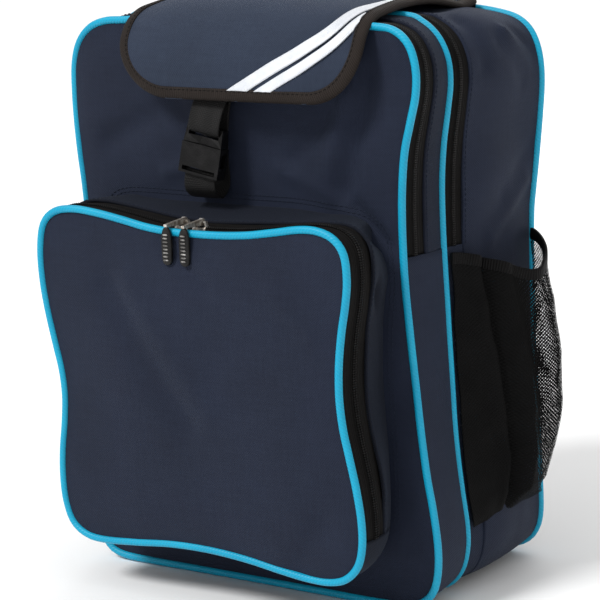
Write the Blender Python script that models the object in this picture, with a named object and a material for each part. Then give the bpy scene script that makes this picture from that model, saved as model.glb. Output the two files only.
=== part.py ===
"""A junior school backpack: two zipped compartments, a front pocket, two mesh side pockets and a buckled flap.

X runs across the bag (to the right as seen from the front), Y from front to back and Z up.
The base rests on z = 0. All sizes are in metres.
"""
import math
from collections import namedtuple

import bmesh
import bpy
from mathutils import Vector

# Cloth and clearances
GAP = 0.0003
CLOTH = 0.0025
PIPING_RADIUS = 0.0022
SEAM = PIPING_RADIUS + GAP

# The body, as an outline in the XZ plane and the places along Y of its three piped seams
Outline = namedtuple("Outline", "half_width low high foot_radius top_radius")
BODY = Outline(half_width=0.138, low=0.0025, high=0.3775, foot_radius=0.030, top_radius=0.040)
FRONT_Y = -0.0725
MIDDLE_Y = -0.0300
REAR_Y = 0.0725
ZIP_END_Z = 0.230
FRONT_ZIP_BACK_Y = -0.0500
MAIN_ZIP_BACK_Y = -0.0105
BACK_PADDING = 0.012

# The front pocket
POCKET = Outline(half_width=0.119, low=0.031, high=0.247, foot_radius=0.028, top_radius=0.032)
POCKET_Y = -0.128
POCKET_ZIP_END_Z = 0.060
POCKET_TAPE = 0.0120
POCKET_CLOTH = 0.0020
POCKET_BACK_Y = FRONT_Y - CLOTH / 2 - GAP

# The mesh side pockets
MESH_FRONT_Y = -0.026
MESH_REAR_Y = 0.068
MESH_FOOT_Z = 0.047
MESH_BULGE = 0.042
MESH_THICKNESS = 0.0020
BINDING_HEIGHT = 0.007

# The flap: its centre line from the rear seam, over the top and down the front, as (y, z)
FLAP_LINE = [
    (0.0660, 0.3830),
    (0.0450, 0.3862),
    (0.0100, 0.3885),
    (-0.0300, 0.3890),
    (-0.0600, 0.3875),
    (-0.0780, 0.3830),
    (-0.0890, 0.3740),
    (-0.0945, 0.3620),
    (-0.0955, 0.3480),
    (-0.0940, 0.3320),
]
FLAP_HALF_WIDTH = 0.098
FLAP_CORNER = 0.040
FLAP_THICKNESS = 0.003
FLAP_HINGE = Vector((0, 0.0700, 0.3825))
BINDING_WIDTH = 0.0037
BINDING_THICKNESS = 0.0042
STRIPE_SLOPE = 0.83
STRIPES = {"reflective_stripe_inner": (0.009, 0.021), "reflective_stripe_outer": (0.040, 0.019)}

# The side-release buckle that holds the flap down. Its own frame has its origin where plug and socket meet,
# X across it, Y into the bag and Z up its strap, which leans to the right and back towards the bag
BUCKLE_PLACE = Vector((-0.0160, -0.0925, 0.2985))
BUCKLE_UP = Vector((0.17, 0.08, 1.0)).normalized()
BUCKLE_IN = BUCKLE_UP.cross(Vector((0, 1, 0)).cross(BUCKLE_UP)).normalized()
BUCKLE_ACROSS = BUCKLE_IN.cross(BUCKLE_UP).normalized()
BUCKLE_HALF_WIDTH = 0.0155
BUCKLE_HALF_DEPTH = 0.0045
SOCKET_LENGTH = 0.0200
PLUG_LENGTH = 0.0120
PRONG_ROOT_X = 0.0085
BUCKLE_WEBBING = 0.025

# Zip sliders and pulls
BAR_HEIGHT = 0.0049
YOKE_HEIGHT = 0.0030
POCKET_ZIP_MEETING_X = -0.0130
POCKET_SLIDER_X = 0.0070
SIDE_SLIDER_Z = 0.272
PULL_WIDTH = 0.0075
PULL_Y = -0.1324
PULL_THICKNESS = 0.0032

# The carrying straps: (x, y, z) places down the right-hand one, which the left-hand one mirrors
STRAP_LINE = [
    (0.066, 0.0910, 0.362),
    (0.066, 0.1000, 0.343),
    (0.067, 0.1100, 0.310),
    (0.069, 0.1150, 0.260),
    (0.071, 0.1150, 0.200),
    (0.074, 0.1090, 0.150),
    (0.077, 0.1035, 0.117),
]
STRAP_WIDTH = 0.056
STRAP_THICKNESS = 0.012
LOWER_WEBBING_LINE = [
    (0.0785, 0.1003, 0.0878),
    (0.0792, 0.0995, 0.0820),
    (0.0860, 0.0970, 0.0690),
    (0.0965, 0.0930, 0.0560),
    (0.1060, 0.0890, 0.0430),
]
WEBBING_WIDTH = 0.025
WEBBING_THICKNESS = 0.0015
LOOP_HINGE = Vector((0, 0.0862, 0.3660))

COLOURS = {
    "navy_fabric": ((0.026, 0.034, 0.062), 0.85, 0.0),
    "cyan_piping": ((0.012, 0.480, 0.760), 0.50, 0.0),
    "black_tape": ((0.020, 0.018, 0.018), 0.75, 0.0),
    "black_mesh": ((0.012, 0.012, 0.014), 0.80, 0.0),
    "reflective": ((0.800, 0.830, 0.860), 0.35, 0.0),
    "black_plastic": ((0.015, 0.015, 0.017), 0.35, 0.0),
    "black_rubber": ((0.014, 0.013, 0.013), 0.60, 0.0),
    "nickel": ((0.460, 0.430, 0.390), 0.30, 1.0),
    "grey_board": ((0.240, 0.240, 0.240), 0.70, 0.0),
}


def clear_scene():
    for thing in list(bpy.data.objects):
        bpy.data.objects.remove(thing, do_unlink=True)


def new_material(node, finish):
    colour, roughness, metallic = COLOURS[finish]
    material = bpy.data.materials.new(f"{node}_{finish}")
    material.use_nodes = True
    shader = material.node_tree.nodes["Principled BSDF"]
    shader.inputs["Base Color"].default_value = (*colour, 1.0)
    shader.inputs["Roughness"].default_value = roughness
    shader.inputs["Metallic"].default_value = metallic
    return material


def add_solid(name, points, faces, finish, origin=Vector()):
    """A closed body whose points are in world places and whose object origin is on its own axis."""
    mesh = bpy.data.meshes.new(name)
    mesh.from_pydata([Vector(point) - origin for point in points], [], faces)
    shape = bmesh.new()
    shape.from_mesh(mesh)
    bmesh.ops.recalc_face_normals(shape, faces=shape.faces)
    shape.to_mesh(mesh)
    shape.free()
    solid = bpy.data.objects.new(name, mesh)
    solid.location = origin
    bpy.context.scene.collection.objects.link(solid)
    mesh.materials.append(new_material(name, finish))
    return solid


def cap_faces(first, count):
    """A ladder of faces across one ring of points, from its first and last point to its middle."""
    faces = []
    for k in range((count - 1) // 2):
        rung = (k, k + 1, count - 2 - k, count - 1 - k)
        faces.append(tuple(first + corner for corner in dict.fromkeys(rung)))
    return faces


def loft(name, sections, finish, closed=False, origin=Vector()):
    """A skin through matching rings of points. An open run of rings is capped, a closed one makes a loop."""
    count = len(sections[0])
    points = [point for section in sections for point in section]
    runs = len(sections) if closed else len(sections) - 1
    faces = []
    for run in range(runs):
        here = run * count
        there = (run + 1) % len(sections) * count
        for k in range(count):
            after = (k + 1) % count
            faces.append((here + k, here + after, there + after, there + k))
    if not closed:
        faces += cap_faces(0, count) + cap_faces(len(points) - count, count)
    return add_solid(name, points, faces, finish, origin)


def block(name, low, high, finish, place, origin=Vector()):
    """A box between two corners, which place carries into the world."""
    sections = []
    for x in (low[0], high[0]):
        ring = ((low[1], low[2]), (high[1], low[2]), (high[1], high[2]), (low[1], high[2]))
        sections.append([place(x, y, z) for y, z in ring])
    return loft(name, sections, finish, origin=origin)


def arc(x, z, radius, start, end, steps=6):
    angles = [math.radians(start + (end - start) * k / steps) for k in range(steps + 1)]
    return [(x + radius * math.cos(a), z + radius * math.sin(a)) for a in angles]


def top_arcs(shape, inset):
    radius = shape.top_radius - inset
    x = shape.half_width - shape.top_radius
    z = shape.high - shape.top_radius
    return arc(x, z, radius, 0, 90) + arc(-x, z, radius, 90, 180)


def foot_arcs(shape, inset):
    radius = shape.foot_radius - inset
    x = shape.half_width - shape.foot_radius
    z = shape.low + shape.foot_radius
    return arc(-x, z, radius, 180, 270) + arc(x, z, radius, 270, 360)


def whole_outline(shape, inset, end_z=None):
    return foot_arcs(shape, inset) + top_arcs(shape, inset)


def upper_outline(shape, inset, end_z):
    side = shape.half_width - inset
    return [(side, end_z)] + top_arcs(shape, inset) + [(-side, end_z)]


def lower_outline(shape, inset, end_z):
    side = shape.half_width - inset
    return [(-side, end_z)] + foot_arcs(shape, inset) + [(side, end_z)]


def sweep_outline(outline, shape, profile, end_z=None):
    """Rings of points that carry a profile of (inset, y) places along an outline."""
    tracks = [[(x, y, z) for x, z in outline(shape, inset, end_z)] for inset, y in profile]
    return [list(ring) for ring in zip(*tracks)]


def add_band(name, outline, shape, front_y, back_y, finish, thickness=CLOTH, end_z=None):
    profile = [(0, front_y), (0, back_y), (thickness, back_y), (thickness, front_y)]
    closed = outline is whole_outline
    return loft(name, sweep_outline(outline, shape, profile, end_z), finish, closed)


def add_piping(name, shape, y, origin=Vector()):
    turns = [2 * math.pi * k / 8 for k in range(8)]
    profile = [(PIPING_RADIUS * math.cos(a), y + PIPING_RADIUS * math.sin(a)) for a in turns]
    return loft(name, sweep_outline(whole_outline, shape, profile), "cyan_piping", True, origin)


def add_panel(name, shape, front_y, back_y, finish, inset=SEAM, origin=Vector()):
    sections = [[(x, y, z) for x, z in whole_outline(shape, inset)] for y in (front_y, back_y)]
    return loft(name, sections, finish, origin=origin)


def add_body():
    front_back = FRONT_Y + SEAM
    add_panel("front_panel", BODY, FRONT_Y - CLOTH / 2, FRONT_Y + CLOTH / 2, "navy_fabric")
    add_piping("front_piping", BODY, FRONT_Y)
    add_band("front_zip", upper_outline, BODY, front_back, FRONT_ZIP_BACK_Y, "black_tape",
             end_z=ZIP_END_Z + GAP)
    add_band("front_gusset_upper", upper_outline, BODY, FRONT_ZIP_BACK_Y + GAP, MIDDLE_Y - SEAM,
             "navy_fabric", end_z=ZIP_END_Z + GAP)
    add_band("front_gusset_lower", lower_outline, BODY, front_back, MIDDLE_Y - SEAM,
             "navy_fabric", end_z=ZIP_END_Z)
    add_piping("middle_piping", BODY, MIDDLE_Y)
    add_panel("divider_panel", BODY, MIDDLE_Y - 0.001, MIDDLE_Y + 0.001, "navy_fabric")
    add_band("main_zip", upper_outline, BODY, MIDDLE_Y + SEAM, MAIN_ZIP_BACK_Y, "black_tape",
             end_z=ZIP_END_Z + GAP)
    add_band("main_gusset_upper", upper_outline, BODY, MAIN_ZIP_BACK_Y + GAP, REAR_Y - SEAM,
             "navy_fabric", end_z=ZIP_END_Z + GAP)
    add_band("main_gusset_lower", lower_outline, BODY, MIDDLE_Y + SEAM, REAR_Y - SEAM,
             "navy_fabric", end_z=ZIP_END_Z)
    add_piping("rear_piping", BODY, REAR_Y)
    back_y = REAR_Y - 0.001
    add_panel("back_panel", BODY, back_y, back_y + BACK_PADDING, "black_mesh")


def rounded_plan(half_x, front_y, back_y, radius):
    x = half_x - radius
    corners = [(x, back_y - radius, 0), (-x, back_y - radius, 90),
               (-x, front_y + radius, 180), (x, front_y + radius, 270)]
    return [point for cx, cy, start in corners for point in arc(cx, cy, radius, start, start + 90, 3)]


def add_base():
    """The reinforcing patch that the bag stands on, and the stiff board inside it."""
    patch = rounded_plan(0.100, MIDDLE_Y + 0.0030, REAR_Y - 0.0028, 0.010)
    loft("base_panel", [[(x, y, z) for x, y in patch] for z in (0.0, 0.0020)], "navy_fabric")
    board = rounded_plan(0.105, MIDDLE_Y + 0.0035, REAR_Y - 0.0045, 0.010)
    loft("base_board", [[(x, y, z) for x, y in board] for z in (0.0055, 0.0085)], "grey_board")


def add_front_pocket():
    """The pocket's front swings open about its foot seam, so its front pieces have their origin there."""
    hinge = Vector((0, POCKET_Y, POCKET.low))
    face = POCKET_Y - POCKET_CLOTH / 2
    add_panel("pocket_panel", POCKET, face, face + POCKET_CLOTH, "navy_fabric", origin=hinge)
    add_piping("pocket_piping", POCKET, POCKET_Y, origin=hinge)
    tape_y = POCKET_Y + SEAM
    teeth_y = tape_y + POCKET_TAPE
    rear_y = teeth_y + GAP + POCKET_TAPE
    end_z = POCKET_ZIP_END_Z + GAP
    add_band("pocket_zip_front_tape", upper_outline, POCKET, tape_y, teeth_y, "black_tape", 0.0015, end_z)
    add_band("pocket_zip_rear_tape", upper_outline, POCKET, teeth_y + GAP, rear_y, "black_tape",
             0.0015, end_z)
    add_band("pocket_gusset_upper", upper_outline, POCKET, rear_y + GAP, POCKET_BACK_Y, "navy_fabric",
             POCKET_CLOTH, end_z)
    add_band("pocket_gusset_lower", lower_outline, POCKET, tape_y, POCKET_BACK_Y, "navy_fabric",
             POCKET_CLOTH, POCKET_ZIP_END_Z)


def mesh_rim_z(along):
    """The elastic rim dips between its two sewn ends."""
    return 0.227 - 0.020 * math.sin(math.pi * along) ** 2 * (1.15 - along)


def mesh_ring(side, level, thickness, lift=0.0, stand_off=0.0, steps=14):
    """One level of a side pocket: the outer curve from front to rear, and the inner curve back again."""
    swell = MESH_BULGE * min(1.0, 0.10 + 1.25 * math.sin(level * math.pi / 2))
    outer, inner = [], []
    for k in range(steps + 1):
        along = k / steps
        y = MESH_FRONT_Y + (MESH_REAR_Y - MESH_FRONT_Y) * along
        belly = math.sin(math.pi * along ** 1.25) ** 0.8 if 0 < along < 1 else 0.0
        x = BODY.half_width + GAP + thickness + swell * belly + stand_off
        z = MESH_FOOT_Z + level * (mesh_rim_z(along) - MESH_FOOT_Z) + lift
        shrink = thickness * (1 - 2 * along)
        outer.append((side * x, y, z))
        inner.append((side * (x - thickness), y + shrink, z))
    return outer + inner[::-1]


def add_side_pocket(name, side):
    levels = [0.0, 0.03, 0.08, 0.16, 0.28, 0.45, 0.70, 1.0]
    loft(f"side_pocket_{name}", [mesh_ring(side, level, MESH_THICKNESS) for level in levels], "black_mesh")
    lifts = (GAP, BINDING_HEIGHT)
    loft(f"side_pocket_binding_{name}", [mesh_ring(side, 1.0, MESH_THICKNESS, lift) for lift in lifts],
         "black_tape")


def smooth_line(points, steps=4):
    """A Catmull-Rom curve through the points, with the given number of steps between neighbours."""
    padded = [2 * points[0] - points[1]] + points + [2 * points[-1] - points[-2]]
    line = []
    for a, b, c, d in zip(padded, padded[1:], padded[2:], padded[3:]):
        for k in range(steps):
            t = k / steps
            line.append(0.5 * (2 * b + (c - a) * t + (2 * a - 5 * b + 4 * c - d) * t ** 2
                               + (3 * b - a - 3 * c + d) * t ** 3))
    return line + [points[-1]]


def flap_stations():
    """Distances along the flap's centre line, the point at each, and its upward normal."""
    line = smooth_line([Vector((0, y, z)) for y, z in FLAP_LINE])
    stations, travelled = [], 0.0
    for k, point in enumerate(line):
        before = line[max(k - 1, 0)]
        after = line[min(k + 1, len(line) - 1)]
        if k:
            travelled += (point - line[k - 1]).length
        normal = Vector((1, 0, 0)).cross((before - after)).normalized()
        stations.append((travelled, point, normal))
    return stations


STATIONS = flap_stations()
FLAP_LENGTH = STATIONS[-1][0]


def on_flap(x, distance, lift):
    """The world place of a point of the flap, from its flat pattern."""
    for (start, p, n), (end, q, m) in zip(STATIONS, STATIONS[1:]):
        if distance <= end or end == FLAP_LENGTH:
            part = (distance - start) / (end - start)
            place = p.lerp(q, part) + n.lerp(m, part).normalized() * lift
            return Vector((x, place.y, place.z))


def flap_edge(inset):
    """The right-hand edge of the flap's flat pattern, from the rear seam to the front: (x, distance)."""
    side = FLAP_HALF_WIDTH - inset
    bend = FLAP_LENGTH - FLAP_CORNER
    straight = [(side, d) for d, _, _ in STATIONS if d < bend - 0.004]
    radius = FLAP_CORNER - inset
    turns = [math.radians(90 * k / 8) for k in range(9)]
    x = FLAP_HALF_WIDTH - FLAP_CORNER
    return straight + [(x + radius * math.cos(a), bend + radius * math.sin(a)) for a in turns]


def add_flap():
    half = FLAP_THICKNESS / 2
    sections = []
    for x, distance in flap_edge(BINDING_WIDTH + GAP):
        corners = ((-x, -half), (x, -half), (x, half), (-x, half))
        sections.append([on_flap(px, distance, lift) for px, lift in corners])
    loft("flap_panel", sections, "navy_fabric", origin=FLAP_HINGE)
    half = BINDING_THICKNESS / 2
    tracks = []
    for inset, lift in ((0, -half), (0, half), (BINDING_WIDTH, half), (BINDING_WIDTH, -half)):
        edge = flap_edge(inset)
        whole = edge + [(-x, distance) for x, distance in reversed(edge)]
        tracks.append([on_flap(x, distance, lift) for x, distance in whole])
    loft("flap_binding", [list(ring) for ring in zip(*tracks)], "black_tape", origin=FLAP_HINGE)
    for name, (start_x, width) in STRIPES.items():
        add_stripe(name, start_x, width)


def add_stripe(name, start_x, width, steps=40, across=8):
    """A reflective tape on the flap that climbs from its front edge to its right-hand edge."""
    margin = BINDING_WIDTH + 0.0012
    front = FLAP_LENGTH - margin
    right = FLAP_HALF_WIDTH - margin
    low = FLAP_THICKNESS / 2 + GAP
    sections = []
    for k in range(steps + 1):
        places = []
        for m in range(across + 1):
            start = start_x + width * m / across
            x = start + (right - start) * k / steps
            places.append((x, front - STRIPE_SLOPE * (x - start)))
        under = [on_flap(x, distance, low) for x, distance in places]
        over = [on_flap(x, distance, low + 0.0005) for x, distance in reversed(places)]
        sections.append(under + over)
    loft(name, sections, "reflective", origin=FLAP_HINGE)


def add_strip(name, line, widths, thickness, finish, origin=Vector(), bevel=0.3):
    """A flat band along a line, its width across X and its long edges thinned to a ridge."""
    points = [Vector(point) for point in line]
    half = thickness / 2
    sections = []
    for k, point in enumerate(points):
        tangent = (points[min(k + 1, len(points) - 1)] - points[max(k - 1, 0)]).normalized()
        normal = tangent.cross(Vector((1, 0, 0))).normalized()
        across = normal.cross(tangent).normalized()
        side = widths[k] / 2
        inner = side - min(bevel * thickness, side / 2)
        profile = ((-side, 0), (-inner, half), (inner, half), (side, 0), (inner, -half), (-inner, -half))
        sections.append([point + across * a + normal * n for a, n in profile])
    return loft(name, sections, finish, origin=origin)


def in_buckle(x, y, z):
    return BUCKLE_PLACE + BUCKLE_ACROSS * x + BUCKLE_IN * y + BUCKLE_UP * z


def cut(solid, name, half_x, half_y, low_z, high_z):
    """Cuts a box that is centred on the buckle's own axis."""
    cutter = block(name, (-half_x, -half_y, low_z), (half_x, half_y, high_z), "black_plastic", in_buckle)
    cutter.display_type = "WIRE"
    cutter.hide_render = True
    boolean = solid.modifiers.new(name, "BOOLEAN")
    boolean.operation = "DIFFERENCE"
    boolean.solver = "EXACT"
    boolean.object = cutter


def add_socket():
    """The fixed half of the buckle: a sleeve open at its top, with a window in each side for the prongs."""
    half_x, half_y = BUCKLE_HALF_WIDTH, BUCKLE_HALF_DEPTH
    low = (-half_x, -half_y, -SOCKET_LENGTH)
    socket = block("buckle_socket", low, (half_x, half_y, 0), "black_plastic", in_buckle)
    cut(socket, "cut_sleeve", half_x - 0.0015, half_y - 0.0014, 0.0060 - SOCKET_LENGTH, 0.0020)
    cut(socket, "cut_windows", half_x + 0.0020, half_y - 0.0021, 0.0075 - SOCKET_LENGTH, -0.0035)
    cut(socket, "cut_slot", half_x - 0.0025, half_y + 0.0020, 0.0016 - SOCKET_LENGTH, 0.0044 - SOCKET_LENGTH)


def add_plate_with_hole(name, outer, inner, place, thickness, finish, origin=Vector()):
    """A plate whose outer and inner edges have one point each per station; place maps (a, b, depth)."""
    sections = []
    for (a, b), (c, d), half in zip(outer, inner, thickness):
        sections.append([place(a, b, -half), place(a, b, half), place(c, d, half), place(c, d, -half)])
    return loft(name, sections, finish, closed=True, origin=origin)


def add_plug():
    """The moving half of the buckle: a ladder for the webbing, a centre tongue and two sprung prongs."""
    low, high = GAP, PLUG_LENGTH
    wide = BUCKLE_HALF_WIDTH - 0.0005
    outer = [(-wide, low), (-0.0025, low), (-0.0020, low - 0.0110), (0.0020, low - 0.0110), (0.0025, low),
             (wide, low), (wide - 0.001, high), (0.001 - wide, high)]
    slot_low, slot_high = low + 0.0050, high - 0.0030
    inner = [(0.003 - wide, slot_low), (-0.005, slot_low), (-0.002, slot_low), (0.002, slot_low),
             (0.005, slot_low), (wide - 0.003, slot_low), (wide - 0.003, slot_high), (0.003 - wide, slot_high)]
    depths = [0.0040, 0.0028, 0.0022, 0.0022, 0.0028, 0.0040, 0.0032, 0.0032]

    def flat(x, z, y):
        return in_buckle(x, y, z)

    add_plate_with_hole("buckle_plug", outer, inner, flat, depths, "black_plastic", in_buckle(0, 0, low))
    for name, side in (("left", -1), ("right", 1)):
        add_prong(name, side)


def add_prong(name, side):
    """A sprung arm that hinges inward at its root under the plug, from (drop, inner x, outer x) stations."""
    root_z = -0.0003
    stations = [(0.0, 0.0075, 0.0100), (-0.0040, 0.0078, 0.0106), (-0.0085, 0.0090, 0.0120),
                (-0.0105, 0.0102, 0.0132), (-0.0130, 0.0100, 0.0116)]
    sections = []
    for drop, inner_x, outer_x in stations:
        corners = ((inner_x, -0.0018), (outer_x, -0.0018), (outer_x, 0.0018), (inner_x, 0.0018))
        sections.append([in_buckle(side * x, y, root_z + drop) for x, y in corners])
    origin = in_buckle(side * PRONG_ROOT_X, 0, root_z)
    loft(f"buckle_prong_{name}", sections, "black_plastic", origin=origin)


def add_buckle():
    """The buckle and its two webbings: one down from the flap, one looped up from a seam on the panel."""
    add_socket()
    add_plug()
    upper = [in_buckle(0, 0, PLUG_LENGTH + GAP), in_buckle(0, 0.0006, 0.0260), in_buckle(0, 0.0020, 0.0450)]
    add_strip("flap_webbing", upper, [BUCKLE_WEBBING] * 3, WEBBING_THICKNESS, "black_tape",
              in_buckle(0, 0, GAP))
    panel_y = FRONT_Y - CLOTH / 2 - GAP - WEBBING_THICKNESS / 2
    foot = in_buckle(0, 0, -SOCKET_LENGTH - 0.0035)
    x = foot.x
    lower = [(x, panel_y - 0.0002, 0.3000), (x, panel_y - 0.0002, 0.2850), (x, panel_y - 0.0010, 0.2740),
             (x, -0.0800, 0.2660), (x, -0.0880, 0.2640), (x, -0.0935, 0.2680), foot]
    add_strip("socket_webbing", lower, [BUCKLE_WEBBING] * 7, WEBBING_THICKNESS, "black_tape")


def slider_stations():
    """Half of a zip slider, as (outer along, outer up, inner along, inner up, half width)."""
    return [
        (0.0050, 0.0000, 0.0030, 0.0015, 0.0038),
        (0.0050, 0.0014, 0.0030, 0.0016, 0.0036),
        (0.0046, 0.0022, 0.0030, 0.0021, 0.0011),
        (0.0036, 0.0054, 0.0027, 0.0044, 0.0011),
    ]


def add_slider(name, place, origin):
    """A slider's plate with its bridge over it; place maps (along the zip, up from it, across)."""
    half = slider_stations()
    whole = half + [(-a, b, -c, d, w) for a, b, c, d, w in reversed(half)]
    outer = [(a, b) for a, b, _, _, _ in whole]
    inner = [(c, d) for _, _, c, d, _ in whole]
    add_plate_with_hole(name, outer, inner, place, [w for *_, w in whole], "nickel", origin)


def add_pocket_pull(name, side):
    """A slider on the pocket's top edge. Its tab rings the bridge and its pull hangs down the front."""
    x = POCKET_ZIP_MEETING_X + side * POCKET_SLIDER_X
    teeth_y = POCKET_Y + SEAM + POCKET_TAPE + GAP / 2
    foot_z = POCKET.high + GAP
    axis = Vector((x, teeth_y, foot_z + BAR_HEIGHT))

    def on_top(along, up, across):
        return Vector((x + along, teeth_y + across, foot_z + up))

    def around_bar(forward, up, across):
        return axis + Vector((across, -forward, up))

    add_slider(f"pocket_zip_slider_{name}", on_top, Vector((x, teeth_y, foot_z)))
    angles = [math.radians(18 + 324 * k / 10) for k in range(11)]
    inner = [(0.0016 * math.cos(a), 0.0016 * math.sin(a)) for a in angles]
    outer = [(0.0025 * math.cos(a), 0.0025 * math.sin(a)) for a in angles]
    reach = teeth_y - PULL_Y
    outer[0] = (reach + 0.0013, 0.0005)
    outer[-1] = (reach + 0.0013, -0.0011)
    depths = [0.0012] * len(angles)
    add_plate_with_hole(f"pocket_zip_tab_{name}", outer, inner, around_bar, depths, "nickel", axis)
    line = [(x, PULL_Y, axis.z + drop) for drop in (-0.0016, -0.008, -0.017, -0.0255)]
    widths = [PULL_WIDTH * scale for scale in (0.7, 0.9, 1.0, 0.85)]
    add_strip(f"pocket_zip_pull_{name}", line, widths, PULL_THICKNESS, "black_rubber", axis)


def add_side_pull(name, y):
    """A slider on the left side of the bag. Its tab is a yoke through the bridge, and its pull hangs."""
    side_x = -BODY.half_width - GAP
    axis = Vector((side_x - YOKE_HEIGHT, y, SIDE_SLIDER_Z))

    def on_side(along, up, across):
        return Vector((side_x - up, y + across, SIDE_SLIDER_Z + along))

    def hanging(across, up, depth):
        return axis + Vector((depth, across, up))

    add_slider(f"{name}_slider", on_side, Vector((side_x, y, SIDE_SLIDER_Z)))
    outer = [(-0.0028, 0.0006), (0.0028, 0.0006), (0.0022, -0.0120), (-0.0022, -0.0120)]
    inner = [(-0.0017, -0.0006), (0.0017, -0.0006), (0.0015, -0.0062), (-0.0015, -0.0062)]
    add_plate_with_hole(f"{name}_tab", outer, inner, hanging, [0.0006] * 4, "nickel", axis)
    sections = []
    for drop, scale in ((-0.0123, 0.7), (-0.019, 0.9), (-0.028, 1.0), (-0.0355, 0.85)):
        half = PULL_WIDTH * scale / 2
        edge = PULL_THICKNESS / 2
        profile = ((-half, 0), (-half * 0.75, edge), (half * 0.75, edge),
                   (half, 0), (half * 0.75, -edge), (-half * 0.75, -edge))
        sections.append([hanging(across, drop, depth) for across, depth in profile])
    loft(f"{name}_pull", sections, "black_rubber", origin=axis)


def add_zip_pulls():
    add_pocket_pull("left", -1)
    add_pocket_pull("right", 1)
    add_side_pull("front_zip", (FRONT_Y + SEAM + FRONT_ZIP_BACK_Y) / 2)
    add_side_pull("main_zip", (MIDDLE_Y + SEAM + MAIN_ZIP_BACK_Y) / 2)


def add_shoulder_strap(name, side):
    line = [(side * x, y, z) for x, y, z in STRAP_LINE]
    widths = [STRAP_WIDTH] * 5 + [0.050, 0.036]
    add_strip(f"shoulder_strap_{name}", line, widths, STRAP_THICKNESS, "navy_fabric")
    add_adjuster(name, side)
    line = [(side * x, y, z) for x, y, z in LOWER_WEBBING_LINE]
    add_strip(f"strap_webbing_{name}", line, [WEBBING_WIDTH] * 5, WEBBING_THICKNESS, "black_tape")
    add_wing(name, side)


def add_adjuster(name, side):
    """A ladder lock between the padded strap and its lower webbing, sloping with them."""
    centre = Vector((side * 0.0780, 0.1020, 0.1025))
    down = Vector((side * 0.0040, -0.0035, -0.0200)).normalized()

    def on_strap(x, up, depth):
        return centre + Vector((x, 0, 0)) - down * up + Vector((0, depth, 0))

    outer = [(-0.0170, -0.0125), (0.0170, -0.0125), (0.0175, 0.0120), (-0.0175, 0.0120)]
    inner = [(-0.0135, -0.0065), (0.0135, -0.0065), (0.0135, 0.0060), (-0.0135, 0.0060)]
    add_plate_with_hole(f"strap_adjuster_{name}", outer, inner, on_strap, [0.0018] * 4, "black_plastic")


def add_wing(name, side):
    """The sewn triangle at the foot of the back that takes the lower webbing."""
    low_y = REAR_Y - 0.001 + BACK_PADDING + GAP
    corners = [(0.132, 0.080), (0.132, 0.036), (0.128, 0.022), (0.090, 0.034), (0.100, 0.056)]
    sections = [[(side * x, y, z) for x, z in corners] for y in (low_y, low_y + CLOTH)]
    loft(f"strap_wing_{name}", sections, "navy_fabric")


def add_haul_loop():
    """A webbing grab handle that hangs down the back from the top of the back panel."""
    width = 0.016
    middle = 0.026
    drop = 0.014
    thickness = 0.0022
    tracks = []
    for offset, y in ((-width / 2, -1), (width / 2, -1), (width / 2, 1), (-width / 2, 1)):
        radius = middle + offset
        foot = arc(0, LOOP_HINGE.z - drop, radius, 180, 360, 8)
        line = [(-radius, LOOP_HINGE.z + 0.001)] + foot + [(radius, LOOP_HINGE.z + 0.001)]
        tracks.append([(x, LOOP_HINGE.y + y * thickness / 2, z) for x, z in line])
    loft("haul_loop", [list(ring) for ring in zip(*tracks)], "black_tape", origin=LOOP_HINGE)


def main():
    clear_scene()
    add_body()
    add_base()
    add_front_pocket()
    for name, side in (("left", -1), ("right", 1)):
        add_side_pocket(name, side)
        add_shoulder_strap(name, side)
    add_flap()
    add_buckle()
    add_zip_pulls()
    add_haul_loop()


main()
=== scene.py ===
"""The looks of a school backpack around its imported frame: cloth, piping, zips, mesh, webbing and hardware.

X runs across the bag, Y from front to back and Z up, in metres, as in the frame.
"""

import math

import bmesh
import bpy
import numpy as np
from mathutils import Matrix, Vector, noise
from mathutils.bvhtree import BVHTree


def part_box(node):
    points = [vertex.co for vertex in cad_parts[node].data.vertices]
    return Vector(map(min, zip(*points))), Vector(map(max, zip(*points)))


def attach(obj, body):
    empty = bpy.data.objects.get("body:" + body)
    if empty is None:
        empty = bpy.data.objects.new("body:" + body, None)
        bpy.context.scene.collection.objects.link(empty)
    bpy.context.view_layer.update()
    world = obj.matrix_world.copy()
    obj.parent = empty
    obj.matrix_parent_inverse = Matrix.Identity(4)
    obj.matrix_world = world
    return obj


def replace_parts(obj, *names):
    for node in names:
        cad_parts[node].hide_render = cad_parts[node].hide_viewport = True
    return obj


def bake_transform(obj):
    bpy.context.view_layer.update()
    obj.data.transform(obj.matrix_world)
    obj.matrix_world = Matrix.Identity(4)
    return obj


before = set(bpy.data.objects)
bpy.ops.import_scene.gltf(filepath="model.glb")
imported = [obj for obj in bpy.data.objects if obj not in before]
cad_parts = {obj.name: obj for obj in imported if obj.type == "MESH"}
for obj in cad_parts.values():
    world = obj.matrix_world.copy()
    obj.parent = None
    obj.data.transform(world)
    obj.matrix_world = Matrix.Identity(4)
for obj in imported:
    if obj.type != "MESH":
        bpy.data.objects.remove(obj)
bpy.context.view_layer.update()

TURN = 2 * math.pi
MIDDLE = np.array((0.0, 0.0, 0.19))
DOWN_THE_BAG = (0.0, 1.0, 0.0)
ACROSS_THE_BAG = (1.0, 0.0, 0.0)

# The camera
CAMERA_AZIMUTH = math.radians(34.83)
CAMERA_ELEVATION = math.radians(11.34)
CAMERA_ROLL = math.radians(-2.015)
CAMERA_DISTANCE = 1.6437
CAMERA_LENS = 144.6
CAMERA_TARGET = Vector((-0.0108, 0.0, 0.1800))

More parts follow.
